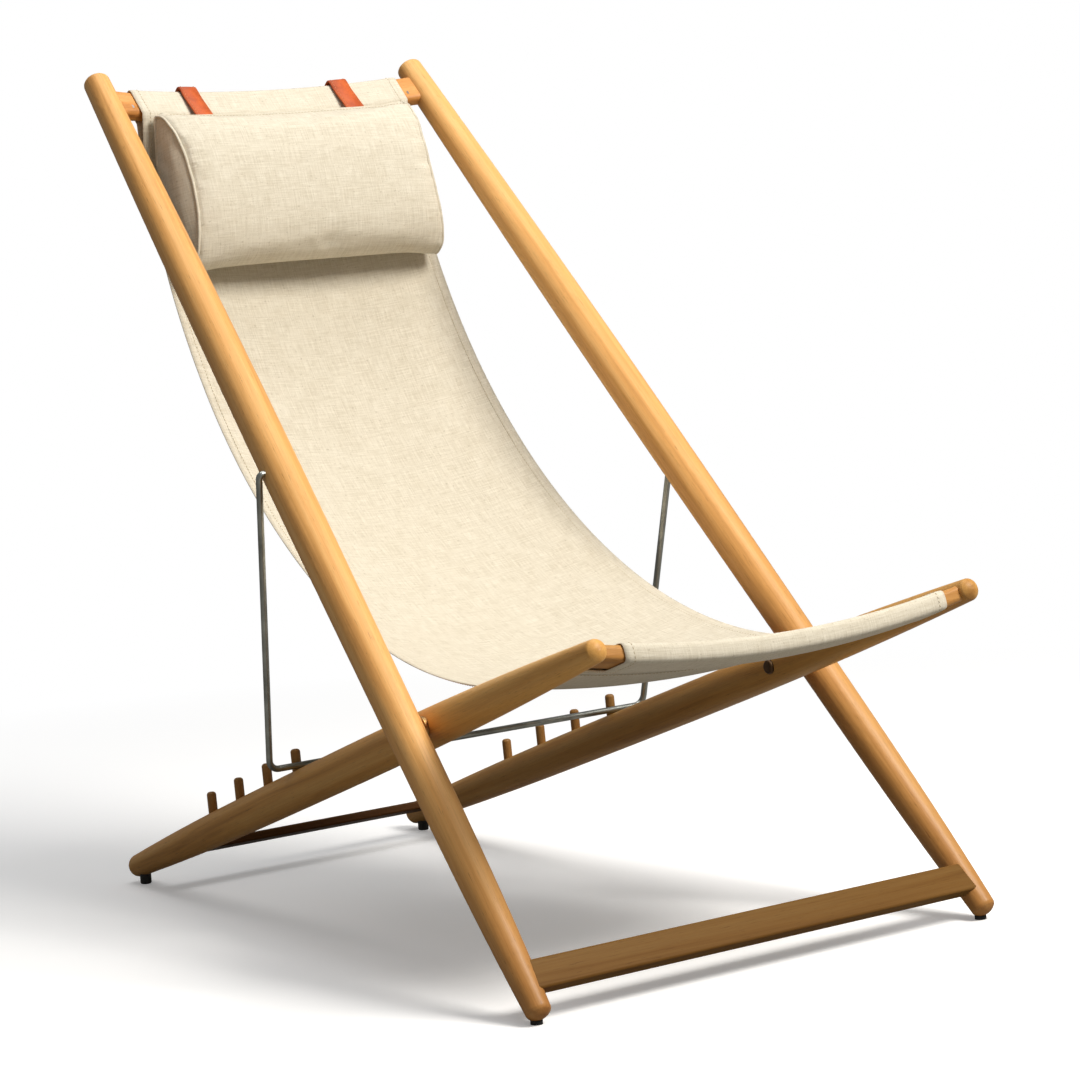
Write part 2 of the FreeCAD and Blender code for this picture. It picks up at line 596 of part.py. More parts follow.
def make_chair():
    back, seat, pivot = make_frames()
    poles = {side: turned_pole(back, side) for _, side in SIDES}
    seat_poles = {side: turned_pole(seat, side) for _, side in SIDES}
    parts = {}

    top_rail = bowed_board(back, TOP_RAIL_AT, back.half_width(TOP_RAIL_AT), TOP_RAIL_BOW,
                           back.half_width(TOP_RAIL_AT), RAIL_WIDTH, RAIL_THICKNESS, RAIL_CORNER)
    top_rail = fit_board(top_rail, poles, back, TOP_RAIL_AT, 0, RAIL_TENON_RADIUS)
    front_rail = bowed_board(seat, FRONT_RAIL_AT, seat.half_width(FRONT_RAIL_AT), FRONT_RAIL_BOW,
                             seat.half_width(FRONT_RAIL_AT), RAIL_WIDTH, RAIL_THICKNESS, RAIL_CORNER)
    parts["front_rail"] = fit_board(front_rail, seat_poles, seat, FRONT_RAIL_AT, 0, RAIL_TENON_RADIUS)
    board = straight_board(back, FRONT_STRETCHER_AT, FRONT_STRETCHER_OUT,
                           back.half_width(FRONT_STRETCHER_AT),
                           FRONT_STRETCHER_WIDTH, FRONT_STRETCHER_THICKNESS)
    parts["front_stretcher"] = fit_board(board, poles, back, FRONT_STRETCHER_AT,
                                         FRONT_STRETCHER_OUT, FRONT_TENON_RADIUS)
    board = straight_board(seat, REAR_STRETCHER_AT, 0, seat.half_width(REAR_STRETCHER_AT),
                           REAR_STRETCHER_WIDTH, REAR_STRETCHER_THICKNESS)
    parts["rear_stretcher"] = fit_board(board, seat_poles, seat, REAR_STRETCHER_AT, 0,
                                        REAR_TENON_RADIUS)

    make_pivots(back, seat, pivot, poles, seat_poles, parts)
    make_pegs(seat, seat_poles, parts)
    bail, hinge, bar = make_bail(back, seat, poles)
    parts["prop_bail"] = bail
    make_front_glides(poles, parts)
    make_rear_feet(seat, seat_poles, parts)

    sling = make_sling(back, seat)
    pillow, filling = make_pillow(back, seat)
    parts["pillow_cover"] = pillow.cut(filling)
    parts["pillow_filling"] = filling
    for shank in make_straps(back, parts, pillow):
        sling = sling.cut(shank)
        top_rail = top_rail.cut(shank)
    for screw in make_rail_screws(back, seat, parts):
        top_rail = top_rail.cut(screw)
    parts["sling"] = sling
    parts["top_rail"] = top_rail
    for name, side in SIDES:
        parts[name + "_back_leg"] = poles[side]
        parts[name + "_seat_leg"] = seat_poles[side]
    return parts, {"pivot": pivot, "bail hinge": hinge, "bail bar": bar}


def main():
    parts, places = make_chair()
    whole = Part.makeCompound(list(parts.values())).optimalBoundingBox(True, False)
    home = Vec(-(whole.XMin + whole.XMax) / 2, -(whole.YMin + whole.YMax) / 2, -whole.ZMin)
    os.makedirs("parts", exist_ok=True)
    for name, shape in sorted(parts.items()):
        shape = shape.copy()
        shape.translate(home)
        if shape.ShapeType == "Compound" and len(shape.Solids) == 1:
            shape = shape.Solids[0]
        shape.exportStep("parts/%s.step" % name)
        print("%-20s %-9s solids %d  volume %10.0f  valid %s"
              % (name, shape.ShapeType, len(shape.Solids), shape.Volume, shape.isValid()))
    for name, place in places.items():
        place = place + home
        print("%-12s y %.3f  z %.3f" % (name, place.y, place.z))
    print("size %.1f x %.1f x %.1f, moved %.3f in Y and %.3f in Z"
          % (whole.XLength, whole.YLength, whole.ZLength, home.y, home.z))


main()
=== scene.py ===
import json
from math import ceil, cos, pi, radians, sin, sqrt

import bpy
from mathutils import Matrix, Vector, noise
from mathutils.bvhtree import BVHTree

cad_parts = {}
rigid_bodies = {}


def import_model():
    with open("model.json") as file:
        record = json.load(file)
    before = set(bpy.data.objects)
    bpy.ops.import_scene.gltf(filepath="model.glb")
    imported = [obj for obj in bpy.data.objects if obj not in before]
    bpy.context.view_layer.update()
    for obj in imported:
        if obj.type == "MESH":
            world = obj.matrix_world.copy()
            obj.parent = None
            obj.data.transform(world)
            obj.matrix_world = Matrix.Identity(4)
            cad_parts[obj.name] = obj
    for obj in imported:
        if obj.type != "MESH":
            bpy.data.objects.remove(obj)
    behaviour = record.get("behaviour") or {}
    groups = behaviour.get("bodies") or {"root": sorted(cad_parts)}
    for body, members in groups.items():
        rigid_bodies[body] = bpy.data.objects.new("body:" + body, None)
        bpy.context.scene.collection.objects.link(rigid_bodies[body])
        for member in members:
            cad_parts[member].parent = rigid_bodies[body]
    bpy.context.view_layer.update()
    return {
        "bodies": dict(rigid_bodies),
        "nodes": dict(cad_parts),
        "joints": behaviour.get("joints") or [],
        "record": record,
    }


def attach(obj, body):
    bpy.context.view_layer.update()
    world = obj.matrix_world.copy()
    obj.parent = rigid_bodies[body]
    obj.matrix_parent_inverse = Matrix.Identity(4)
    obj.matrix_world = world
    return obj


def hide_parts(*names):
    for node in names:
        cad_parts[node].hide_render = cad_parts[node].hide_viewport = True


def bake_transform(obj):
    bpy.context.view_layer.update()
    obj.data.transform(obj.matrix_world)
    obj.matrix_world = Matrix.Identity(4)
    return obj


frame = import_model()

# The looks of a folding deck chair: linen sling, head pillow, leather straps, oiled wood, zinc rod.
# Metres. X runs across the chair, the front faces -Y, and Z is up.

ACROSS = Vector((1, 0, 0))
SIDES = [("left", -1), ("right", 1)]
JOINTS = {joint["name"]: joint for joint in frame["joints"]}
PIVOT = Vector(JOINTS["seat_fold"]["pos_m"])
BAIL_HINGE = Vector(JOINTS["bail_swing"]["pos_m"])

# Camera
CAMERA_AT = (-2.1033, -3.0976, 0.8000)
CAMERA_YAW = -34.937
CAMERA_PITCH = 6.107
CAMERA_ROLL = -3.780
CAMERA_LENS = 117.5

# Rails: from the pivot along each frame, half width between pole axes, bow and section
SEAT_SLOPE = 18.6
TOP_RAIL_AT = 0.877
TOP_RAIL_HALF = 0.21076
TOP_RAIL_BOW = 0.015
FRONT_RAIL_AT = 0.282
FRONT_RAIL_HALF = 0.22923
FRONT_RAIL_BOW = 0.020
RAIL_WIDTH = 0.036
RAIL_THICKNESS = 0.016
RAIL_CORNER = 0.005

# Sling
SLING_SKIN = 0.0014          # middle of the cloth, off the rail
SLING_HALF_TOP = 0.1764
SLING_HALF_FRONT = 0.198
SLING_TOP_HANDLE = 0.388
SLING_TOP_ANGLE = -98.7
SLING_FRONT_HANDLE = 0.439
SLING_FRONT_ANGLE = -24.3
SLING_BELLY = 0.030          # how far the middle hangs below the edges half way along
SLING_STEP = 0.006           # mesh size along the cloth
SLING_COLUMNS = 64
SLING_HALF_THICKNESS = 0.0005
HEM_WIDTH = 0.012
HEM_HALF_THICKNESS = 0.0009
HEM_SLOPE = 0.0015           # across the step from hem to single cloth
EDGE_STRIP = 0.0006          # outermost strip of the cloth, thinned to round its edge
EDGE_THINNING = 0.45
HEM_STITCH_IN = 0.002        # hem stitching, in from the hem's inner edge
SLEEVE_JOIN = 0.040          # share of the hanging cloth where a sleeve's second layer is sewn on
SLEEVE_TAIL = 0.052
SLEEVE_TAIL_STEPS = 3
SLEEVE_LAYER_STEPS = 8
FLAP_OFFSET = 0.0021         # the second layer's middle, off the sheet's
CURVE_SAMPLES = 50
RIPPLE_FADE = 0.07           # share of the hanging cloth over which its ripples die out at each end
RIPPLE_SLOW = 0.0011
RIPPLE_FINE = 0.00022

# Pillow: outline points below the rail and forward of the sling's edge
PILLOW_OUTLINE = [(-0.010, 0.024), (0.003, 0.041), (0.027, 0.0535), (0.058, 0.0605), (0.090, 0.063),
                  (0.120, 0.0615), (0.146, 0.057), (0.167, 0.049), (0.1815, 0.037), (0.188, 0.022),
                  (0.186, 0.010), (0.176, 0.004), (0.120, 0.003), (0.060, 0.003), (0.044, 0.004),
                  (0.017, 0.014)]
PILLOW_CHORD = 0.16
PILLOW_HALF_BACK = 0.1775
PILLOW_HALF_FRONT = 0.161
PILLOW_DEPTH = 0.0625
PILLOW_COLUMNS = 40
PILLOW_VOXEL = 0.0045
PILLOW_SWELL = 0.007         # how far the stuffing may push a point
PILLOW_SHRINK = 0.004
PIPING_RADIUS = 0.0017
PIPING_STEP = 0.004
PIPING_INSIDE = 0.001
PIPING_LIFT = 0.0004
SEAM_RADIUS = 0.0011
SEAM_COLUMNS = 70
SEAM_LIFT = 0.0003
SEAM_INSIDE = 0.002          # both rows stop this far inside the pillow's ends
TOP_SEAM = (-0.002, 0.026)   # below and ahead, as in the outline
TOP_STITCHES = (0.004, 0.036)
SWELL_FRAMES = 20
CREASE_SLOW = 0.0016
CREASE_GATHER = 0.0011
CREASE_REACH = 0.06          # how far gathers run in from the end seams
CREASE_FROM = 0.012          # creases lie this far or more ahead of the sling
CREASE_FACING = 0.5          # and not where the surface faces further sideways than this
END_WEAVE_SHIFT = 0.7        # sets the weave of each face apart from the others'
TOP_WEAVE_SHIFT = 0.4
END_FACE = 0.72              # a normal with more of one axis than this belongs to that face
CLOTH_CLEARANCE = 0.0016     # between the sling's cloth and the pillow

# Straps
STRAP_WIDTH = 0.023
STRAP_THICKNESS = 0.0026
STRAP_SPREAD = 0.100
STRAP_SKIN = 0.0048          # middle of the strap, off the rail
STRAP_BEND = 0.006
STRAP_FRONT_REACH = 0.030
STRAP_REAR_REACH = 0.015
STRAP_LIFT = 0.0035          # the front end stands off the sleeve to meet the pillow's seam
STRAP_LIFT_FROM = 0.004
STRAP_LIFT_BEND = 0.02
STRAP_STEP = 0.003
STRAP_RIM = 0.0008
STRAP_CROWN = 1.12
STRAP_STITCH_IN = 0.003

# Stitching
STITCH_LENGTH = 0.0030
STITCH_PITCH = 0.0043
STITCH_RADIUS = 0.00038
STITCH_SIDES = 6
STITCH_LIFT = 0.0001         # stitches lie this far off the cloth
SEWN_LAYER = 0.0021          # a seam's stitches also cross the sleeve's second layer

# Finishes
WOOD_LIGHT = (0.87, 0.51, 0.195)
WOOD_MID = (0.75, 0.385, 0.12)
WOOD_DARK = (0.47, 0.215, 0.06)
WOOD_PORE = (0.18, 0.075, 0.022)
BACK_GRAIN_LEAN = 0.0572     # how far each pair of legs draws in, per metre along
SEAT_GRAIN_LEAN = 0.0360
THREAD_PITCH = 0.00115       # between the linen's threads
LINEN_LIGHT = (0.74, 0.685, 0.565)
LINEN_DARK = (0.56, 0.495, 0.375)
LINEN_FLECK = (0.34, 0.275, 0.18)

# Studio
FLOOR_HALF = 3.4
FLOOR_WHOLE = 0.75           # from here outwards the floor fades to the white all round
FLOOR_GONE = 1.9
FLOOR_BOUNCE = (0.30, 0.29, 0.27)   # the floor's colour for every ray but the camera's
FLOOR_GLOW = 0.22
WORLD_FILL = 0.20
KEY_AT, KEY_AIM, KEY_SIZE = (1.0, -2.1, 2.8), (0, 0, 0.45), (1.4, 1.4)
KEY_POWER = 132
KEY_COLOUR = (1.0, 0.97, 0.92)
TOP_AT, TOP_AIM, TOP_SIZE = (0.2, 0.4, 3.0), (0, 0, 0.4), (2.0, 2.0)
TOP_POWER = 30


def side_direction(angle):
    return Vector((0, cos(radians(angle)), sin(radians(angle))))


class LegFrame:
    """One pair of legs seen from the side: the pivot, a direction along and one square to it."""

    def __init__(self, along, out):
        self.along = along
        self.out = out

    def point(self, x, along, out=0.0):
        return PIVOT + ACROSS * x + self.along * along + self.out * out


BACK_ALONG = (BAIL_HINGE - PIVOT).normalized()
BACK = LegFrame(BACK_ALONG, ACROSS.cross(BACK_ALONG))
SEAT = LegFrame(side_direction(180 - SEAT_SLOPE), side_direction(90 - SEAT_SLOPE))


def bow_drop(x, half_length, bow):
    """How far a bowed rail's centre line lies behind its ends, at x across the chair."""
    radius = (half_length ** 2 + bow ** 2) / (2 * bow)
    return bow - radius + sqrt(radius ** 2 - x ** 2)


def top_drop(x):
    return bow_drop(x, TOP_RAIL_HALF, TOP_RAIL_BOW)


def front_drop(x):
    return bow_drop(x, FRONT_RAIL_HALF, FRONT_RAIL_BOW)


# ---------------------------------------------------------------- meshes

def make_object(name, vertices, faces, smooth=True):
    mesh = bpy.data.meshes.new(name)
    mesh.from_pydata([tuple(v) for v in vertices], [], faces)
    mesh.update()
    mesh.polygons.foreach_set("use_smooth", [smooth] * len(mesh.polygons))
    made = bpy.data.objects.new(name, mesh)
    bpy.context.scene.collection.objects.link(made)
    return made


def ring_around(centre, a, b, radius, count):
    return [centre + (a * cos(2 * pi * n / count) + b * sin(2 * pi * n / count)) * radius
            for n in range(count)]


def tube(name, points, radius, count=8, closed=False):
    """A round cord along the points, with flat ends unless it is closed."""
    vertices = []
    faces = []
    total = len(points)
    for number, point in enumerate(points):
        before = points[number - 1] if closed or number else points[0]
        after = points[(number + 1) % total] if closed or number < total - 1 else points[-1]
        tangent = (after - before).normalized()
        a = tangent.orthogonal().normalized() if number == 0 else (a - tangent * a.dot(tangent)).normalized()
        vertices += ring_around(point, a, tangent.cross(a), radius, count)
    for number in range(total if closed else total - 1):
        base = number * count
        following = ((number + 1) % total) * count
        for n in range(count):
            m = (n + 1) % count
            faces.append((base + n, base + m, following + m, following + n))
    if not closed:
        faces.append(tuple(reversed(range(count))))
        faces.append(tuple(range((total - 1) * count, total * count)))
    cord = make_object(name, vertices, faces)
    uv = cord.data.uv_layers.new(name="cloth")
    for loop in cord.data.loops:
        ring, turn = divmod(loop.vertex_index, count)
        uv.data[loop.index].uv = (turn * radius, ring * (points[1] - points[0]).length)
    return cord


def stitches(name, rows):
    """Short threads with sunk ends, laid end to end along rows of (point, normal) pairs."""
    vertices = []
    faces = []
    profile = [(-0.5, 0.25, -1.0), (-0.3, 0.95, 0.1), (0.0, 1.0, 0.45), (0.3, 0.95, 0.1), (0.5, 0.25, -1.0)]
    sides = STITCH_SIDES
    for row in rows:
        lengths = [0.0]
        for first, second in zip(row, row[1:]):
            lengths.append(lengths[-1] + (second[0] - first[0]).length)
        count = max(1, int(lengths[-1] / STITCH_PITCH))
        index = 0
        for number in range(count):
            middle = (number + 0.5) * lengths[-1] / count
            while index < len(lengths) - 2 and lengths[index + 1] < middle:
                index += 1
            share = (middle - lengths[index]) / max(lengths[index + 1] - lengths[index], 1e-9)
            point = row[index][0].lerp(row[index + 1][0], share)
            normal = row[index][1].lerp(row[index + 1][1], share).normalized()
            tangent = (row[index + 1][0] - row[index][0]).normalized()
            sideways = normal.cross(tangent).normalized()
            start = len(vertices)
            for along, size, lift in profile:
                centre = point + tangent * (along * STITCH_LENGTH) + normal * (lift * STITCH_RADIUS)
                vertices += ring_around(centre, normal, sideways, size * STITCH_RADIUS, sides)
            for ring in range(len(profile) - 1):
                for n in range(sides):
                    a = start + ring * sides + n
                    b = start + ring * sides + (n + 1) % sides
                    faces.append((a, b, b + sides, a + sides))
            faces.append(tuple(start + n for n in reversed(range(sides))))
            faces.append(tuple(start + (len(profile) - 1) * sides + n for n in range(sides)))
    return make_object(name, vertices, faces)


def fillet_path(corners, radii, step=4):
    """Points along straight runs through the corners, each turn rounded with an arc."""
    points = [corners[0]]
    for number in range(1, len(corners) - 1):
        corner = corners[number]
        arriving = (corner - corners[number - 1]).normalized()
        leaving = (corners[number + 1] - corner).normalized()
        turn = arriving.angle(leaving)
        setback = radii[number - 1] * sin(turn / 2) / cos(turn / 2)
        first = corner - arriving * setback
        last = corner + leaving * setback
        for n in range(step + 1):
            share = n / step
            low = first.lerp(corner, share)
            high = corner.lerp(last, share)
            points.append(low.lerp(high, share))
    points.append(corners[-1])
    return points


def spaced(points, step):
    """The same line with no run longer than the step."""
    result = [points[0]]
    for first, second in zip(points, points[1:]):
        count = max(1, ceil((second - first).length / step))
        for n in range(1, count + 1):
            result.append(first.lerp(second, n / count))
    return result


# ---------------------------------------------------------------- sling

def bezier_point(controls, t):
    a, b, c, d = controls
    s = 1 - t
    return a * s ** 3 + b * (3 * s * s * t) + c * (3 * s * t * t) + d * t ** 3


SKIN = RAIL_THICKNESS / 2 + SLING_SKIN
TOP_CORNER = BACK.point(0, TOP_RAIL_AT - RAIL_WIDTH / 2, -top_drop(SLING_HALF_TOP) - SKIN)
FRONT_CORNER = SEAT.point(0, FRONT_RAIL_AT - RAIL_WIDTH / 2, -front_drop(SLING_HALF_FRONT) + SKIN)
EDGE_CURVE = [TOP_CORNER, TOP_CORNER + side_direction(SLING_TOP_ANGLE) * SLING_TOP_HANDLE,
              FRONT_CORNER + side_direction(SLING_FRONT_ANGLE) * SLING_FRONT_HANDLE, FRONT_CORNER]
TOP_SAG = BACK.out * (top_drop(SLING_HALF_TOP) - TOP_RAIL_BOW)
FRONT_SAG = SEAT.out * (front_drop(SLING_HALF_FRONT) - FRONT_RAIL_BOW)


def sheet_sag(t):
    run = bezier_point(EDGE_CURVE, 0.51) - bezier_point(EDGE_CURVE, 0.49)
    belly = ACROSS.cross(run).normalized() * SLING_BELLY
    peak = (belly - (TOP_SAG + FRONT_SAG) * 0.25) * 2
    s = 1 - t
    return TOP_SAG * (s * s) + peak * (2 * s * t) + FRONT_SAG * (t * t)


def sleeve_section():
    """Corners of a sleeve's section as (along, out), round the rail from its lower front corner."""
    w = RAIL_WIDTH / 2 + SLING_SKIN
    return [Vector((-w, SKIN, 0)), Vector((w, SKIN, 0)), Vector((w, -SKIN, 0)), Vector((-w, -SKIN, 0))]


def on_sheet(t, lift=0.0):
    """A function from the share across to a point of the hanging cloth, lifted off its face."""
    half = SLING_HALF_TOP + (SLING_HALF_FRONT - SLING_HALF_TOP) * t
    edge = bezier_point(EDGE_CURVE, t)
    run = bezier_point(EDGE_CURVE, min(t + 0.005, 1.0)) - bezier_point(EDGE_CURVE, max(t - 0.005, 0.0))
    raised = edge + run.cross(ACROSS).normalized() * lift
    sag = sheet_sag(t)
    return (lambda u: raised + ACROSS * (u * half) + sag * (1 - u * u)), half


def on_rail(frame, at, drop, half, place):
    return lambda u: frame.point(u * half, at + place.x, place.y - drop(u * half))


def between(first, second, share):
    return lambda u: first(u).lerp(second(u), share)


def sleeve(frame, at, drop, half, lift, join, tail):
    """Stations of a sleeve from the end of its sewn-down layer, round the rail, to the hanging cloth.

    A station is a function across the cloth, a half width, and its share of the hanging sheet or None.
    """
    stations = []
    for step in range(SLEEVE_TAIL_STEPS):
        place, width = on_sheet(tail + (join - tail) * step / (SLEEVE_TAIL_STEPS - 1), lift)
        stations.append((place, width, None))
    sewn, _ = on_sheet(join, lift)
    corners = sleeve_section()
    if lift < 0:
        corners = [Vector((corner.x, -corner.y, 0)) for corner in corners]
    corner = RAIL_CORNER + SLING_SKIN
    path = spaced(fillet_path(corners, [corner, corner]), SLING_STEP)
    first = on_rail(frame, at, drop, half, path[0])
    for step in range(1, SLEEVE_LAYER_STEPS):
        stations.append((between(sewn, first, step / SLEEVE_LAYER_STEPS), half, None))
    for place in path[:-1]:
        stations.append((on_rail(frame, at, drop, half, place), half, None))
    return stations


def sling_stations():
    """Every station along the cloth, from the end of one sleeve to the end of the other."""
    stations = sleeve(BACK, TOP_RAIL_AT, top_drop, SLING_HALF_TOP, FLAP_OFFSET, SLEEVE_JOIN, SLEEVE_TAIL)
    samples = [bezier_point(EDGE_CURVE, n / CURVE_SAMPLES) for n in range(CURVE_SAMPLES + 1)]
    length = sum((second - first).length for first, second in zip(samples, samples[1:]))
    count = ceil(length / SLING_STEP)
    for number in range(count + 1):
        place, half = on_sheet(number / count)
        stations.append((place, half, number / count))
    front = sleeve(SEAT, FRONT_RAIL_AT, front_drop, SLING_HALF_FRONT, -FLAP_OFFSET,
                   1 - SLEEVE_JOIN, 1 - SLEEVE_TAIL)
    return stations + front[::-1]


def ripple(x, length):
    """Small unevenness of hanging linen."""
    slow = noise.noise(Vector((x * 7, length * 3.1, 0.3)))
    fine = noise.noise(Vector((x * 26, length * 17, 4.7)))
    return slow * RIPPLE_SLOW + fine * RIPPLE_FINE


def make_sling():
    """The cloth as a closed two-layer mesh, with its rows, normals, lengths along and seam rows."""
    stations = sling_stations()
    rows = []
    lengths = [0.0]
    for place, _, _ in stations:
        rows.append([place(-1 + 2 * n / SLING_COLUMNS) for n in range(SLING_COLUMNS + 1)])
        if len(rows) > 1:
            middle = SLING_COLUMNS // 2
            lengths.append(lengths[-1] + (rows[-1][middle] - rows[-2][middle]).length)
    upper = []
    lower = []
    normals = []
    for number, row in enumerate(rows):
        before = rows[max(number - 1, 0)]
        after = rows[min(number + 1, len(rows) - 1)]
        _, half, share = stations[number]
        free = 0.0 if share is None else min(1.0, min(share, 1 - share) / RIPPLE_FADE)
        line = []
        for n, point in enumerate(row):
            left = row[max(n - 1, 0)]
            right = row[min(n + 1, SLING_COLUMNS)]
            normal = (right - left).cross(before[n] - after[n]).normalized()
            line.append(normal)
            from_edge = half - abs(point.x)
            blend = min(1.0, max(0.0, (from_edge - HEM_WIDTH) / HEM_SLOPE))
            thick = HEM_HALF_THICKNESS + (SLING_HALF_THICKNESS - HEM_HALF_THICKNESS) * blend
            if from_edge < EDGE_STRIP:
                thick *= EDGE_THINNING
            shift = ripple(point.x, lengths[number]) * free
            upper.append(point + normal * (thick + shift))
            lower.append(point - normal * (thick - shift))
        normals.append(line)
    width = SLING_COLUMNS + 1
    total = len(upper)
    faces = []
    for r in range(len(rows) - 1):
        for n in range(SLING_COLUMNS):
            a = r * width + n
            faces.append((a, a + width, a + width + 1, a + 1))
            faces.append((total + a, total + a + 1, total + a + width + 1, total + a + width))
        first = r * width
        last = r * width + SLING_COLUMNS
        faces.append((first, total + first, total + first + width, first + width))
        faces.append((last, last + width, total + last + width, total + last))
    end = (len(rows) - 1) * width
    for n in range(SLING_COLUMNS):
        faces.append((n, n + 1, total + n + 1, total + n))
        faces.append((end + n, total + end + n, total + end + n + 1, end + n + 1))
    sling = make_object("sling_cloth", upper + lower, faces)
    uv = sling.data.uv_layers.new(name="cloth")
    for loop in sling.data.loops:
        index = loop.vertex_index % total
        row, column = divmod(index, width)
        uv.data[loop.index].uv = (rows[row][column].x, lengths[row])
    sheet_rows = [n for n in range(len(stations)) if stations[n][2] is not None]
    seams = []
    for wanted in (SLEEVE_JOIN, SLEEVE_TAIL, 1 - SLEEVE_JOIN, 1 - SLEEVE_TAIL):
        seams.append(min(sheet_rows, key=lambda n: abs(stations[n][2] - wanted)))
    return sling, rows, normals, lengths, seams


def sling_stitching(rows, normals, seams):
    """Hem stitching down both sides, and two rows across at each sleeve, on both faces."""
    lines = []
    lift = HEM_HALF_THICKNESS + STITCH_LIFT
    flat_lift = SLING_HALF_THICKNESS + STITCH_LIFT

    def spot(row, share):
        position = share * SLING_COLUMNS
        column = min(int(position), SLING_COLUMNS - 1)
        part = position - column
        point = rows[row][column].lerp(rows[row][column + 1], part)
        normal = normals[row][column].lerp(normals[row][column + 1], part).normalized()
        return point, normal

    for face in (1, -1):
        for _, side in SIDES:
            line = []
            for row in range(len(rows)):
                half = abs(rows[row][0].x)
                share = 0.5 + side * 0.5 * (half - HEM_WIDTH + HEM_STITCH_IN) / half
                point, normal = spot(row, share)
                line.append((point + normal * (face * lift), normal * face))
            lines.append(line)
        for row, layer in zip(seams, (1, 1, -1, -1)):
            lift_here = flat_lift + (SEWN_LAYER if face == layer else 0.0)
            line = []
            for column in range(SLING_COLUMNS + 1):
                point = rows[row][column]
                normal = normals[row][column]
                line.append((point + normal * (face * lift_here), normal * face))
            lines.append(line)
    return stitches("sling_stitching", lines)


# ---------------------------------------------------------------- pillow

PILLOW_DOWN = (bezier_point(EDGE_CURVE, PILLOW_CHORD) - TOP_CORNER).normalized()
PILLOW_FORWARD = PILLOW_DOWN.cross(ACROSS)


def pillow_point(x, below, ahead):
    return TOP_CORNER + ACROSS * x + PILLOW_DOWN * below + PILLOW_FORWARD * ahead


def pillow_half(ahead):
    """The pillow's ends draw in towards its front."""
    share = min(1.0, max(0.0, ahead / PILLOW_DEPTH))
    return PILLOW_HALF_BACK + (PILLOW_HALF_FRONT - PILLOW_HALF_BACK) * share * share


def apply_modifiers(piece):
    graph = bpy.context.evaluated_depsgraph_get()
    mesh = bpy.data.meshes.new_from_object(piece.evaluated_get(graph))
    piece.modifiers.clear()
    piece.data = mesh


def pillow_start(inset):
    """The pillow's plain D-shaped body, a little small all round."""
    middle = Vector((sum(p[0] for p in PILLOW_OUTLINE), sum(p[1] for p in PILLOW_OUTLINE)))
    middle /= len(PILLOW_OUTLINE)
    outline = []
    for below, ahead in PILLOW_OUTLINE:
        place = Vector((below, ahead))
        outline.append(place + (middle - place).normalized() * inset)
    vertices = []
    faces = []
    count = len(outline)
    for column in range(PILLOW_COLUMNS + 1):
        share = -1 + 2 * column / PILLOW_COLUMNS
        for below, ahead in outline:
            vertices.append(pillow_point(share * (pillow_half(ahead) - inset), below, ahead))
    for column in range(PILLOW_COLUMNS):
        for n in range(count):
            a = column * count + n
            b = column * count + (n + 1) % count
            faces.append((a, a + count, b + count, b))
    faces.append(tuple(range(count)))
    faces.append(tuple(reversed(range(PILLOW_COLUMNS * count, (PILLOW_COLUMNS + 1) * count))))
    return make_object("pillow_linen", vertices, faces)


def make_pillow(sling):
    pillow = pillow_start(PILLOW_SHRINK)
    remesh = pillow.modifiers.new("remesh", "REMESH")
    remesh.mode = "VOXEL"
    remesh.voxel_size = PILLOW_VOXEL
    apply_modifiers(pillow)
    rest = [v.co.copy() for v in pillow.data.vertices]
    swell(pillow)
    for vertex, start in zip(pillow.data.vertices, rest):
        shift = vertex.co - start
        if shift.length > PILLOW_SWELL:
            vertex.co = start + shift.normalized() * PILLOW_SWELL
    smooth = pillow.modifiers.new("smooth", "SMOOTH")
    smooth.factor = 0.5
    smooth.iterations = 4
    divide = pillow.modifiers.new("divide", "SUBSURF")
    divide.levels = 1
    divide.render_levels = 1
    apply_modifiers(pillow)
    keep_in_front(pillow, sling)
    crease(pillow)
    pillow.data.polygons.foreach_set("use_smooth", [True] * len(pillow.data.polygons))
    map_pillow(pillow)
    return pillow


def swell(pillow):
    """The stuffing presses the cover out from inside."""
    cloth = pillow.modifiers.new("cloth", "CLOTH")
    cloth.settings.quality = 6
    cloth.settings.mass = 0.25
    cloth.settings.tension_stiffness = 18
    cloth.settings.compression_stiffness = 18
    cloth.settings.shear_stiffness = 8
    cloth.settings.bending_stiffness = 1.5
    cloth.settings.use_pressure = True
    cloth.settings.uniform_pressure_force = 4
    cloth.settings.effector_weights.gravity = 0
    cloth.collision_settings.use_collision = False
    scene = bpy.context.scene
    cloth.point_cache.frame_start = 1
    cloth.point_cache.frame_end = SWELL_FRAMES
    for number in range(1, SWELL_FRAMES + 1):
        scene.frame_set(number)
    apply_modifiers(pillow)
    scene.frame_set(1)


def keep_in_front(pillow, sling):
    """No point of the pillow goes into the sling's cloth."""
    behind, reach = 0.05, 0.09
    tree = BVHTree.FromObject(sling, bpy.context.evaluated_depsgraph_get())
    for vertex in pillow.data.vertices:
        hit, _, _, _ = tree.ray_cast(vertex.co - PILLOW_FORWARD * behind, PILLOW_FORWARD, reach)
        if hit is None:
            continue
        depth = (vertex.co - hit).dot(PILLOW_FORWARD)
        if depth < CLOTH_CLEARANCE:
            vertex.co += PILLOW_FORWARD * (CLOTH_CLEARANCE - depth)


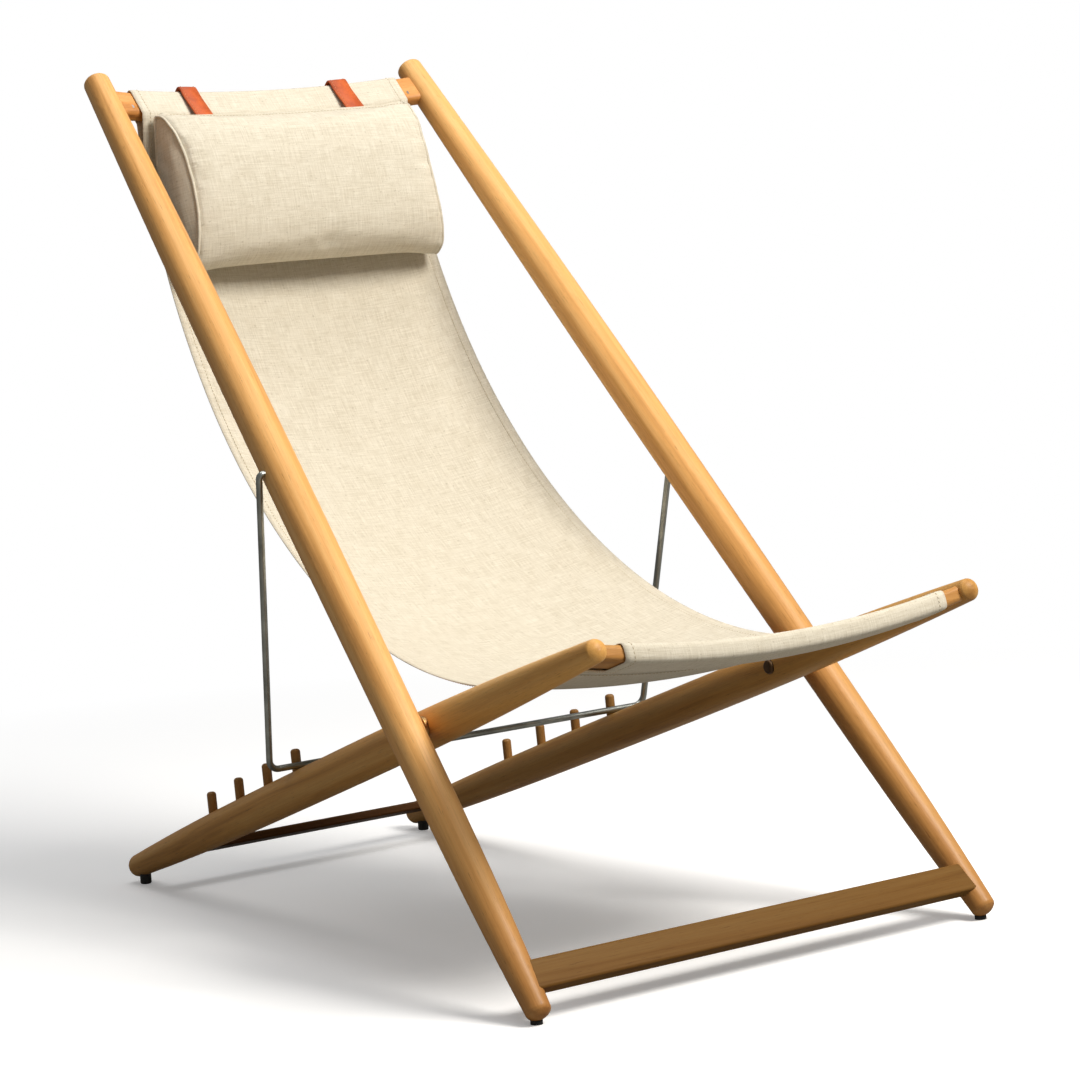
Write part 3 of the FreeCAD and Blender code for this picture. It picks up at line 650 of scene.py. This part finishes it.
def crease(pillow):
    """A slow unevenness, and soft gathers that run in from the end seams."""
    for vertex in pillow.data.vertices:
        offset = vertex.co - TOP_CORNER
        below = offset.dot(PILLOW_DOWN)
        ahead = offset.dot(PILLOW_FORWARD)
        from_end = pillow_half(ahead) - abs(vertex.co.x)
        near = max(0.0, 1 - max(from_end, 0.0) / CREASE_REACH)
        gather = noise.noise(Vector((vertex.co.x * 9, below * 95, ahead * 60)))
        slow = noise.noise(Vector((vertex.co.x * 6 + 3, below * 14, ahead * 9)))
        swelling = slow * CREASE_SLOW + gather * CREASE_GATHER * near * near
        if ahead > CREASE_FROM and abs(vertex.normal.x) < CREASE_FACING:
            vertex.co += vertex.normal * swelling


def map_pillow(pillow):
    """Weave coordinates in metres: round the roll on its long faces, straight on its ends."""
    uv = pillow.data.uv_layers.new(name="cloth")
    for polygon in pillow.data.polygons:
        end_face = abs(polygon.normal.x) > END_FACE
        top_face = abs(polygon.normal.dot(PILLOW_DOWN)) > END_FACE
        for index in polygon.loop_indices:
            place = pillow.data.vertices[pillow.data.loops[index].vertex_index].co
            offset = place - TOP_CORNER
            below = offset.dot(PILLOW_DOWN)
            ahead = offset.dot(PILLOW_FORWARD)
            if end_face:
                uv.data[index].uv = (below + END_WEAVE_SHIFT, ahead)
            elif top_face:
                uv.data[index].uv = (place.x, ahead + TOP_WEAVE_SHIFT)
            else:
                uv.data[index].uv = (place.x, below)


def on_surface(tree, point, lift):
    place, normal, _, _ = tree.find_nearest(point)
    return place + normal * lift, normal


def pillow_trim(pillow):
    """Piping round both ends, a seam along the top where the straps are sewn in, and its stitching."""
    tree = BVHTree.FromObject(pillow, bpy.context.evaluated_depsgraph_get())
    trims = []
    outline = [Vector((below, ahead, 0)) for below, ahead in PILLOW_OUTLINE]
    for name, side in SIDES:
        loop = spaced(outline + [outline[0]], PIPING_STEP)[:-1]
        points = []
        for place in loop:
            reach = side * (pillow_half(place.y) - PIPING_INSIDE)
            points.append(on_surface(tree, pillow_point(reach, place.x, place.y), PIPING_LIFT)[0])
        for _ in range(3):
            points = [(points[n - 1] + points[n] * 2 + points[(n + 1) % len(points)]) / 4
                      for n in range(len(points))]
        trims.append(tube("pillow_piping_" + name, points, PIPING_RADIUS, 10, True))
    seam = []
    row = []
    for n in range(SEAM_COLUMNS + 1):
        x = (-1 + 2 * n / SEAM_COLUMNS) * (PILLOW_HALF_FRONT - SEAM_INSIDE)
        seam.append(on_surface(tree, pillow_point(x, *TOP_SEAM), SEAM_LIFT)[0])
        row.append(on_surface(tree, pillow_point(x, *TOP_STITCHES), SEAM_LIFT))
    trims.append(tube("pillow_top_seam", seam, SEAM_RADIUS, 8))
    trims.append(stitches("pillow_stitching", [row]))
    return trims


# ---------------------------------------------------------------- straps

def make_strap(name, side):
    """A leather strap with rounded edges that follows the bowed rail."""
    above = RAIL_WIDTH / 2 + STRAP_SKIN
    ahead = RAIL_THICKNESS / 2 + STRAP_SKIN
    centre = side * STRAP_SPREAD

    def place(u, along, out):
        x = centre + u
        return BACK.point(x, TOP_RAIL_AT + along, out - top_drop(x))

    corners = [Vector((-STRAP_FRONT_REACH, ahead + STRAP_LIFT, 0)), Vector((STRAP_LIFT_FROM, ahead, 0)),
               Vector((above, ahead, 0)), Vector((above, -ahead, 0)), Vector((-STRAP_REAR_REACH, -ahead, 0))]
    path = spaced(fillet_path(corners, [STRAP_LIFT_BEND, STRAP_BEND, STRAP_BEND], 8), STRAP_STEP)
    half = STRAP_WIDTH / 2
    thick = STRAP_THICKNESS / 2
    rim = STRAP_RIM
    section = [(-half, -thick + rim), (-half + rim, -thick), (0, -thick), (half - rim, -thick),
               (half, -thick + rim), (half, thick - rim), (half - rim, thick), (0, thick * STRAP_CROWN),
               (-half + rim, thick), (-half, thick - rim)]
    vertices = []
    faces = []
    spine = []
    for number, point in enumerate(path):
        before = path[max(number - 1, 0)]
        after = path[min(number + 1, len(path) - 1)]
        run = (after - before).normalized()
        outward = Vector((-run.y, run.x, 0))
        spine.append((point, outward))
        for u, lift in section:
            spot = point + outward * lift
            vertices.append(place(u, spot.x, spot.y))
    count = len(section)
    for number in range(len(path) - 1):
        for n in range(count):
            a = number * count + n
            b = number * count + (n + 1) % count
            faces.append((a, b, b + count, a + count))
    faces.append(tuple(reversed(range(count))))
    faces.append(tuple(range((len(path) - 1) * count, len(path) * count)))
    strap = make_object(name + "_leather_strap", vertices, faces)
    uv = strap.data.uv_layers.new(name="hide")
    for loop in strap.data.loops:
        row, column = divmod(loop.vertex_index, count)
        uv.data[loop.index].uv = (section[column][0], row * STRAP_STEP)
    rows = []
    for edge in (-1, 1):
        line = []
        for point, outward in spine:
            spot = point + outward * (thick * 1.02)
            normal = (BACK.along * outward.x + BACK.out * outward.y).normalized()
            line.append((place(edge * (half - STRAP_STITCH_IN), spot.x, spot.y), normal))
        rows.append(line)
    thread = stitches(name + "_strap_stitching", rows)
    return strap, thread


# ---------------------------------------------------------------- materials

class Nodes:
    """A small helper that adds and links shader nodes."""

    def __init__(self, name):
        self.material = bpy.data.materials.new(name)
        self.material.use_nodes = True
        self.tree = self.material.node_tree
        self.shader = self.tree.nodes["Principled BSDF"]

    def link(self, source, target):
        self.tree.links.new(source, target)

    def add(self, kind, **settings):
        node = self.tree.nodes.new(kind)
        for key, value in settings.items():
            setattr(node, key, value)
        return node

    def feed(self, node, name, value):
        if hasattr(value, "is_output"):
            self.link(value, node.inputs[name])
        else:
            node.inputs[name].default_value = value

    def math(self, operation, first, second=0.0):
        node = self.add("ShaderNodeMath", operation=operation)
        self.feed(node, 0, first)
        self.feed(node, 1, second)
        return node.outputs[0]

    def noise(self, vector, scale, detail=3.0, roughness=0.55):
        node = self.add("ShaderNodeTexNoise")
        self.link(vector, node.inputs["Vector"])
        node.inputs["Scale"].default_value = scale
        node.inputs["Detail"].default_value = detail
        node.inputs["Roughness"].default_value = roughness
        return node.outputs["Fac"]

    def stretch(self, vector, factors):
        node = self.add("ShaderNodeVectorMath", operation="MULTIPLY")
        self.link(vector, node.inputs[0])
        node.inputs[1].default_value = factors
        return node.outputs[0]

    def ramp(self, value, stops):
        node = self.add("ShaderNodeValToRGB")
        elements = node.color_ramp.elements
        while len(elements) < len(stops):
            elements.new(0.5)
        for element, (place, colour) in zip(elements, stops):
            element.position = place
            element.color = (*colour, 1)
        self.link(value, node.inputs[0])
        return node.outputs["Color"]

    def mix(self, share, first, second, kind="MIX"):
        node = self.add("ShaderNodeMix", data_type="RGBA", blend_type=kind)
        self.feed(node, 0, share)
        for index, value in ((6, first), (7, second)):
            if hasattr(value, "is_output"):
                self.link(value, node.inputs[index])
            else:
                node.inputs[index].default_value = (*value, 1)
        return node.outputs[2]

    def range(self, value, low, high, to_low=0.0, to_high=1.0):
        node = self.add("ShaderNodeMapRange")
        self.link(value, node.inputs["Value"])
        for name, number in (("From Min", low), ("From Max", high), ("To Min", to_low), ("To Max", to_high)):
            node.inputs[name].default_value = number
        return node.outputs["Result"]

    def bump(self, height, distance, strength):
        node = self.add("ShaderNodeBump")
        self.link(height, node.inputs["Height"])
        node.inputs["Distance"].default_value = distance
        node.inputs["Strength"].default_value = strength
        return node.outputs["Normal"]

    def place(self):
        return self.add("ShaderNodeTexCoord").outputs["Object"]


def along_axes(nodes, direction, offset):
    """Object coordinates turned so that their X runs along the direction."""
    direction = Vector(direction).normalized()
    second = direction.orthogonal().normalized()
    third = direction.cross(second)
    start = nodes.place()
    combine = nodes.add("ShaderNodeCombineXYZ")
    for name, axis in (("X", direction), ("Y", second), ("Z", third)):
        dot = nodes.add("ShaderNodeVectorMath", operation="DOT_PRODUCT")
        nodes.link(start, dot.inputs[0])
        dot.inputs[1].default_value = axis
        nodes.link(nodes.math("ADD", dot.outputs["Value"], offset), combine.inputs[name])
    return combine.outputs[0]


def wood(name, direction, offset, tone_and_shade=1.0, floor_shade=0.55, tint=(1, 1, 1), shade_from=0.42,
         gloss=0.25):
    """Oiled teak: long figure, fine fibres, pores, and painted shade: browner towards the floor, and a
    darker tone on pieces that sit in shade.
    """
    nodes = Nodes(name)
    grain = along_axes(nodes, direction, offset)
    drift = nodes.noise(nodes.stretch(grain, (1.6, 9, 9)), 1.0, 2.0)
    bands = nodes.add("ShaderNodeVectorMath", operation="ADD")
    nodes.link(nodes.stretch(grain, (1.3, 75, 75)), bands.inputs[0])
    shift = nodes.add("ShaderNodeCombineXYZ")
    nodes.link(nodes.math("MULTIPLY", drift, 2.4), shift.inputs["Y"])
    nodes.link(shift.outputs[0], bands.inputs[1])
    figure = nodes.noise(bands.outputs[0], 1.0, 4.0, 0.6)
    fibres = nodes.noise(nodes.stretch(grain, (14, 900, 900)), 1.0, 3.0, 0.6)
    pores = nodes.noise(nodes.stretch(grain, (55, 1500, 1500)), 1.0, 1.0)
    blotch = nodes.noise(nodes.stretch(grain, (3.0, 14, 14)), 1.0, 3.0)
    base = nodes.ramp(figure, [(0.28, WOOD_DARK), (0.46, WOOD_MID), (0.68, WOOD_LIGHT)])
    base = nodes.mix(nodes.range(blotch, 0.35, 0.7, 0.0, 0.35), base, WOOD_MID)
    base = nodes.mix(nodes.range(fibres, 0.35, 0.7, 0.0, 0.30), base, WOOD_DARK)
    base = nodes.mix(nodes.range(pores, 0.66, 0.78, 0.0, 0.55), base, WOOD_PORE)
    # Painted shade: below shade_from the wood turns browner towards the floor by floor_shade, broken up by
    # the blotch, standing in for shade the lights don't give.
    height = nodes.add("ShaderNodeSeparateXYZ")
    nodes.link(nodes.place(), height.inputs[0])
    low = nodes.range(height.outputs["Z"], shade_from, 0.03)
    painted_shade_mask = nodes.math("MULTIPLY", low, nodes.range(blotch, 0.3, 0.65, 0.65, 1.0))
    shade = [1 - (1 - floor_shade) * share for share in (0.85, 1.0, 1.15)]
    base = nodes.mix(painted_shade_mask, base, nodes.mix(1.0, base, tuple(shade), "MULTIPLY"))
    # Painted shade: the tone darkens whole pieces for the shade they sit in, on top of their wood colour.
    if tone_and_shade != 1.0 or tint != (1, 1, 1):
        base = nodes.mix(1.0, base, tuple(tone_and_shade * t for t in tint), "MULTIPLY")
    nodes.link(base, nodes.shader.inputs["Base Color"])
    nodes.link(nodes.range(figure, 0.3, 0.7, 0.50, 0.38), nodes.shader.inputs["Roughness"])
    nodes.shader.inputs["Specular IOR Level"].default_value = gloss
    nodes.shader.inputs["Coat Weight"].default_value = gloss / 5
    nodes.shader.inputs["Coat Roughness"].default_value = 0.35
    rough = nodes.math("ADD", nodes.math("MULTIPLY", fibres, 0.6), nodes.math("MULTIPLY", figure, 0.4))
    nodes.link(nodes.bump(rough, 0.00035, 0.55), nodes.shader.inputs["Normal"])
    return nodes.material


def linen(name, light, dark, fleck):
    """Undyed linen: plain weave, slubs in both directions and pale and dark flecks."""
    nodes = Nodes(name)
    uv = nodes.add("ShaderNodeUVMap", uv_map="cloth").outputs["UV"]
    wobble = nodes.noise(nodes.stretch(uv, (40, 40, 1)), 1.0, 2.0)
    split = nodes.add("ShaderNodeSeparateXYZ")
    nodes.link(uv, split.inputs[0])
    turn = 2 * pi / THREAD_PITCH
    phase = nodes.math("MULTIPLY", wobble, 3.0)
    warp = nodes.math("SINE", nodes.math("ADD", nodes.math("MULTIPLY", split.outputs["X"], turn), phase))
    weft = nodes.math("SINE", nodes.math("ADD", nodes.math("MULTIPLY", split.outputs["Y"], turn), phase))
    weave = nodes.math("MULTIPLY", nodes.math("ADD", nodes.math("MULTIPLY", warp, weft), 1.0), 0.5)
    warp_slub = nodes.noise(nodes.stretch(uv, (700, 38, 1)), 1.0, 3.0, 0.6)
    weft_slub = nodes.noise(nodes.stretch(uv, (38, 700, 1)), 1.0, 3.0, 0.6)
    slub = nodes.math("ADD", nodes.math("MULTIPLY", warp_slub, 0.5), nodes.math("MULTIPLY", weft_slub, 0.5))
    cloudy = nodes.noise(nodes.stretch(uv, (16, 16, 1)), 1.0, 4.0, 0.6)
    speck = nodes.noise(nodes.stretch(uv, (260, 330, 1)), 1.0, 2.0, 0.5)
    base = nodes.mix(nodes.range(slub, 0.38, 0.62), dark, light)
    base = nodes.mix(nodes.range(cloudy, 0.3, 0.7, 0.0, 0.32), base, light)
    mottle = nodes.noise(nodes.stretch(uv, (62, 75, 1)), 1.0, 5.0, 0.68)
    base = nodes.mix(nodes.range(mottle, 0.50, 0.72, 0.0, 0.42), base, dark)
    base = nodes.mix(nodes.range(speck, 0.62, 0.74, 0.0, 0.45), base, fleck)
    base = nodes.mix(nodes.range(weave, 0.0, 0.45, 0.22, 0.0), base, fleck)
    nodes.link(base, nodes.shader.inputs["Base Color"])
    nodes.shader.inputs["Roughness"].default_value = 0.88
    nodes.shader.inputs["Specular IOR Level"].default_value = 0.25
    nodes.shader.inputs["Sheen Weight"].default_value = 0.12
    nodes.shader.inputs["Sheen Roughness"].default_value = 0.5
    height = nodes.math("ADD", nodes.math("MULTIPLY", weave, 0.45), nodes.math("MULTIPLY", slub, 0.9))
    nodes.link(nodes.bump(height, 0.0004, 0.7), nodes.shader.inputs["Normal"])
    return nodes.material


def leather():
    """Waxed tan leather with a fine grain and darker creases."""
    nodes = Nodes("strap_leather")
    place = nodes.place()
    cells = nodes.add("ShaderNodeTexVoronoi", feature="DISTANCE_TO_EDGE")
    nodes.link(place, cells.inputs["Vector"])
    cells.inputs["Scale"].default_value = 900
    cloud = nodes.noise(place, 60, 4.0)
    base = nodes.ramp(cloud, [(0.3, (0.38, 0.060, 0.011)),
                              (0.52, (0.55, 0.100, 0.018)),
                              (0.75, (0.67, 0.150, 0.032))])
    base = nodes.mix(nodes.range(cells.outputs["Distance"], 0.0, 0.12, 0.35, 0.0), base, (0.22, 0.04, 0.012))
    nodes.link(base, nodes.shader.inputs["Base Color"])
    nodes.link(nodes.range(cloud, 0.3, 0.7, 0.38, 0.52), nodes.shader.inputs["Roughness"])
    nodes.shader.inputs["Specular IOR Level"].default_value = 0.3
    grain = nodes.math("ADD", cells.outputs["Distance"], nodes.math("MULTIPLY", cloud, 0.3))
    nodes.link(nodes.bump(grain, 0.0003, 0.6), nodes.shader.inputs["Normal"])
    return nodes.material


def metal(name, light, dark, roughness):
    """Plated or brushed metal with dull patches and fine scratches."""
    nodes = Nodes(name)
    place = nodes.place()
    patch = nodes.noise(place, 45, 4.0)
    fine = nodes.noise(nodes.stretch(place, (400, 400, 400)), 1.0, 2.0)
    base = nodes.mix(nodes.range(patch, 0.3, 0.7), dark, light)
    nodes.link(base, nodes.shader.inputs["Base Color"])
    nodes.shader.inputs["Metallic"].default_value = 1.0
    nodes.link(nodes.range(patch, 0.3, 0.7, roughness + 0.1, roughness - 0.06),
               nodes.shader.inputs["Roughness"])
    nodes.link(nodes.bump(fine, 0.0001, 0.4), nodes.shader.inputs["Normal"])
    return nodes.material


def rubber():
    nodes = Nodes("rubber_feet")
    place = nodes.place()
    dust = nodes.noise(place, 160, 4.0)
    base = nodes.mix(nodes.range(dust, 0.4, 0.75), (0.012, 0.012, 0.012), (0.07, 0.065, 0.06))
    nodes.link(base, nodes.shader.inputs["Base Color"])
    nodes.link(nodes.range(dust, 0.3, 0.7, 0.6, 0.85), nodes.shader.inputs["Roughness"])
    nodes.link(nodes.bump(dust, 0.0003, 0.5), nodes.shader.inputs["Normal"])
    return nodes.material


def thread(name, light, dark):
    """Twisted sewing thread."""
    nodes = Nodes(name)
    place = nodes.place()
    twist = nodes.noise(nodes.stretch(place, (1800, 1800, 1800)), 1.0, 2.0)
    base = nodes.mix(nodes.range(twist, 0.35, 0.65), dark, light)
    nodes.link(base, nodes.shader.inputs["Base Color"])
    nodes.shader.inputs["Roughness"].default_value = 0.8
    nodes.link(nodes.bump(twist, 0.0002, 0.6), nodes.shader.inputs["Normal"])
    return nodes.material


def dress(piece, material):
    piece.data.materials.clear()
    piece.data.materials.append(material)


def dress_cad():
    """Better finishes for the carried CAD nodes; each long piece has its grain along its length."""
    nodes = frame["nodes"]
    for number, (name, side) in enumerate(SIDES):
        back_axis = BACK.along - ACROSS * (side * BACK_GRAIN_LEAN)
        seat_axis = SEAT.along + ACROSS * (side * SEAT_GRAIN_LEAN)
        # These tones, floor shades and shade heights are partly painted shade: the right back leg darkens
        # from 0.50 m down and the left from 0.17 m, the right seat leg is darker than the left, and the
        # pegs, rails and stretchers are darkened for the shade they sit in.
        dress(nodes[name + "_back_leg"],
              wood("oiled_wood_%s_back_leg" % name, back_axis, 0.13 + number, tone_and_shade=1.04, floor_shade=0.44,
                   shade_from=0.17 + 0.33 * number))
        dress(nodes[name + "_seat_leg"],
              wood("oiled_wood_%s_seat_leg" % name, seat_axis, 2.4 + number, tone_and_shade=0.98 - 0.18 * number,
                   floor_shade=0.72, tint=(1.0, 1.0, 0.84)))
        peg_wood = wood("oiled_wood_%s_pegs" % name, SEAT.out, 5.1 + number, tone_and_shade=0.55, floor_shade=0.8,
                        tint=(1.0, 0.95, 0.80))
        for peg in range(1, 5):
            dress(nodes["%s_peg_%d" % (name, peg)], peg_wood)
        dress(nodes[name + "_pivot_bolt"], BROWNED)
        dress(nodes[name + "_rail_screw"], STEEL)
        for part in ("pivot_insert", "pivot_washer", "strap_stud"):
            dress(nodes["%s_%s" % (name, part)], BRASS)
        for part in ("front_glide", "rear_foot"):
            dress(nodes["%s_%s" % (name, part)], RUBBER)
    dress(nodes["top_rail"],
          wood("oiled_wood_top_rail", ACROSS, 7.3, tone_and_shade=0.84, floor_shade=1.0, tint=(1.0, 0.84, 0.68)))
    dress(nodes["front_rail"],
          wood("oiled_wood_front_rail", ACROSS, 8.9, tone_and_shade=0.66, floor_shade=1.0, tint=(1.0, 0.9, 0.74)))
    dress(nodes["front_stretcher"],
          wood("oiled_wood_front_stretcher", ACROSS, 10.2, tone_and_shade=0.26, floor_shade=0.9,
               tint=(1.0, 0.95, 0.76), gloss=0.05))
    # Painted shade: the rear stretcher's very low tone stands for the shade it sits in under the seat.
    dress(nodes["rear_stretcher"],
          wood("painted_shade_wood_rear_stretcher", ACROSS, 12.7, tone_and_shade=0.12, floor_shade=0.9,
               tint=(1.0, 0.74, 0.54), gloss=0.08))
    dress(nodes["prop_bail"], metal("bail_steel", (0.44, 0.455, 0.42), (0.25, 0.26, 0.24), 0.34))


# ---------------------------------------------------------------- build

sling, rows, normals, lengths, seams = make_sling()
sling_thread = sling_stitching(rows, normals, seams)
dress(sling, linen("sling_linen", LINEN_LIGHT, LINEN_DARK, LINEN_FLECK))
THREAD = thread("linen_thread", (0.72, 0.62, 0.44), (0.40, 0.32, 0.20))
dress(sling_thread, THREAD)
for piece in (sling, sling_thread):
    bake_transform(piece)
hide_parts("sling")

pillow = make_pillow(sling)
trims = pillow_trim(pillow)
PILLOW_LINEN = linen("pillow_linen", LINEN_LIGHT, LINEN_DARK, LINEN_FLECK)
dress(pillow, PILLOW_LINEN)
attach(pillow, "back_frame")
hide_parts("pillow_cover", "pillow_filling")
for trim in trims:
    dress(trim, THREAD if trim.name == "pillow_stitching" else PILLOW_LINEN)
    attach(trim, "back_frame")

LEATHER = leather()
STRAP_THREAD = thread("strap_thread", (0.72, 0.30, 0.12), (0.42, 0.13, 0.04))
for name, side in SIDES:
    strap, strap_thread = make_strap(name, side)
    dress(strap, LEATHER)
    dress(strap_thread, STRAP_THREAD)
    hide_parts(name + "_strap")
    for piece in (strap, strap_thread):
        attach(piece, "back_frame")

STEEL = metal("steel_screws", (0.42, 0.42, 0.43), (0.24, 0.24, 0.25), 0.34)
BROWNED = metal("browned_steel", (0.17, 0.105, 0.06), (0.09, 0.055, 0.03), 0.48)
BRASS = metal("brass", (0.60, 0.37, 0.15), (0.42, 0.25, 0.09), 0.40)
RUBBER = rubber()
dress_cad()


# ---------------------------------------------------------------- studio

def make_camera():
    yaw = radians(CAMERA_YAW)
    pitch = radians(CAMERA_PITCH)
    roll = radians(CAMERA_ROLL)
    back = Vector((sin(yaw) * cos(pitch), -cos(yaw) * cos(pitch), sin(pitch)))
    right = Vector((cos(yaw), sin(yaw), 0))
    up = back.cross(right)
    r = right * cos(roll) + up * sin(roll)
    u = up * cos(roll) - right * sin(roll)
    data = bpy.data.cameras.new("camera")
    data.lens = CAMERA_LENS
    data.sensor_width = 36
    data.clip_end = 100
    camera = bpy.data.objects.new("camera", data)
    camera.matrix_world = Matrix.Translation(CAMERA_AT) @ Matrix((r, u, back)).transposed().to_4x4()
    bpy.context.scene.collection.objects.link(camera)
    bpy.context.scene.camera = camera


def make_light(name, at, aim, size, energy, colour=(1, 1, 1)):
    data = bpy.data.lights.new(name, "AREA")
    data.shape = "RECTANGLE"
    data.size, data.size_y = size
    data.energy = energy
    data.color = colour
    light = bpy.data.objects.new(name, data)
    light.location = at
    light.rotation_mode = "QUATERNION"
    light.rotation_quaternion = (Vector(aim) - Vector(at)).to_track_quat("-Z", "Y")
    bpy.context.scene.collection.objects.link(light)


def make_studio():
    half = FLOOR_HALF
    floor = make_object("floor", [(-half, -half, 0), (half, -half, 0), (half, half, 0), (-half, half, 0)],
                        [(0, 1, 2, 3)], False)
    nodes = Nodes("pale_floor")
    place = nodes.place()
    faint = nodes.noise(place, 3, 2.0)
    nodes.link(nodes.mix(faint, (0.90, 0.90, 0.90), (0.92, 0.92, 0.92)), nodes.shader.inputs["Base Color"])
    nodes.shader.inputs["Roughness"].default_value = 0.9
    nodes.shader.inputs["Specular IOR Level"].default_value = 0.1
    nodes.shader.inputs["Emission Color"].default_value = (1, 1, 1, 1)
    nodes.shader.inputs["Emission Strength"].default_value = FLOOR_GLOW
    distance = nodes.add("ShaderNodeVectorMath", operation="LENGTH")
    nodes.link(place, distance.inputs[0])
    white = nodes.add("ShaderNodeEmission")
    fade = nodes.add("ShaderNodeMixShader")
    nodes.link(nodes.range(distance.outputs["Value"], FLOOR_WHOLE, FLOOR_GONE), fade.inputs[0])
    nodes.link(nodes.shader.outputs[0], fade.inputs[1])
    nodes.link(white.outputs[0], fade.inputs[2])
    dim = nodes.add("ShaderNodeBsdfDiffuse")
    dim.inputs["Color"].default_value = (*FLOOR_BOUNCE, 1)
    choose = nodes.add("ShaderNodeMixShader")
    nodes.link(nodes.add("ShaderNodeLightPath").outputs["Is Camera Ray"], choose.inputs[0])
    nodes.link(dim.outputs[0], choose.inputs[1])
    nodes.link(fade.outputs[0], choose.inputs[2])
    nodes.link(choose.outputs[0], nodes.tree.nodes["Material Output"].inputs["Surface"])
    dress(floor, nodes.material)
    make_world()
    make_light("key", KEY_AT, KEY_AIM, KEY_SIZE, KEY_POWER, KEY_COLOUR)
    make_light("top", TOP_AT, TOP_AIM, TOP_SIZE, TOP_POWER)
    view = bpy.context.scene.view_settings
    view.view_transform = "Standard"
    view.look = "None"


def make_world():
    """White all round to look at, and a softer fill to light the chair with."""
    world = bpy.data.worlds.new("studio")
    world.use_nodes = True
    tree = world.node_tree
    fill = tree.nodes["Background"]
    fill.inputs["Color"].default_value = (1, 1, 1, 1)
    fill.inputs["Strength"].default_value = WORLD_FILL
    white = tree.nodes.new("ShaderNodeBackground")
    white.inputs["Color"].default_value = (1, 1, 1, 1)
    rays = tree.nodes.new("ShaderNodeLightPath")
    choose = tree.nodes.new("ShaderNodeMixShader")
    tree.links.new(rays.outputs["Is Camera Ray"], choose.inputs[0])
    tree.links.new(fill.outputs[0], choose.inputs[1])
    tree.links.new(white.outputs[0], choose.inputs[2])
    tree.links.new(choose.outputs[0], tree.nodes["World Output"].inputs["Surface"])
    bpy.context.scene.world = world


make_camera()
make_studio()
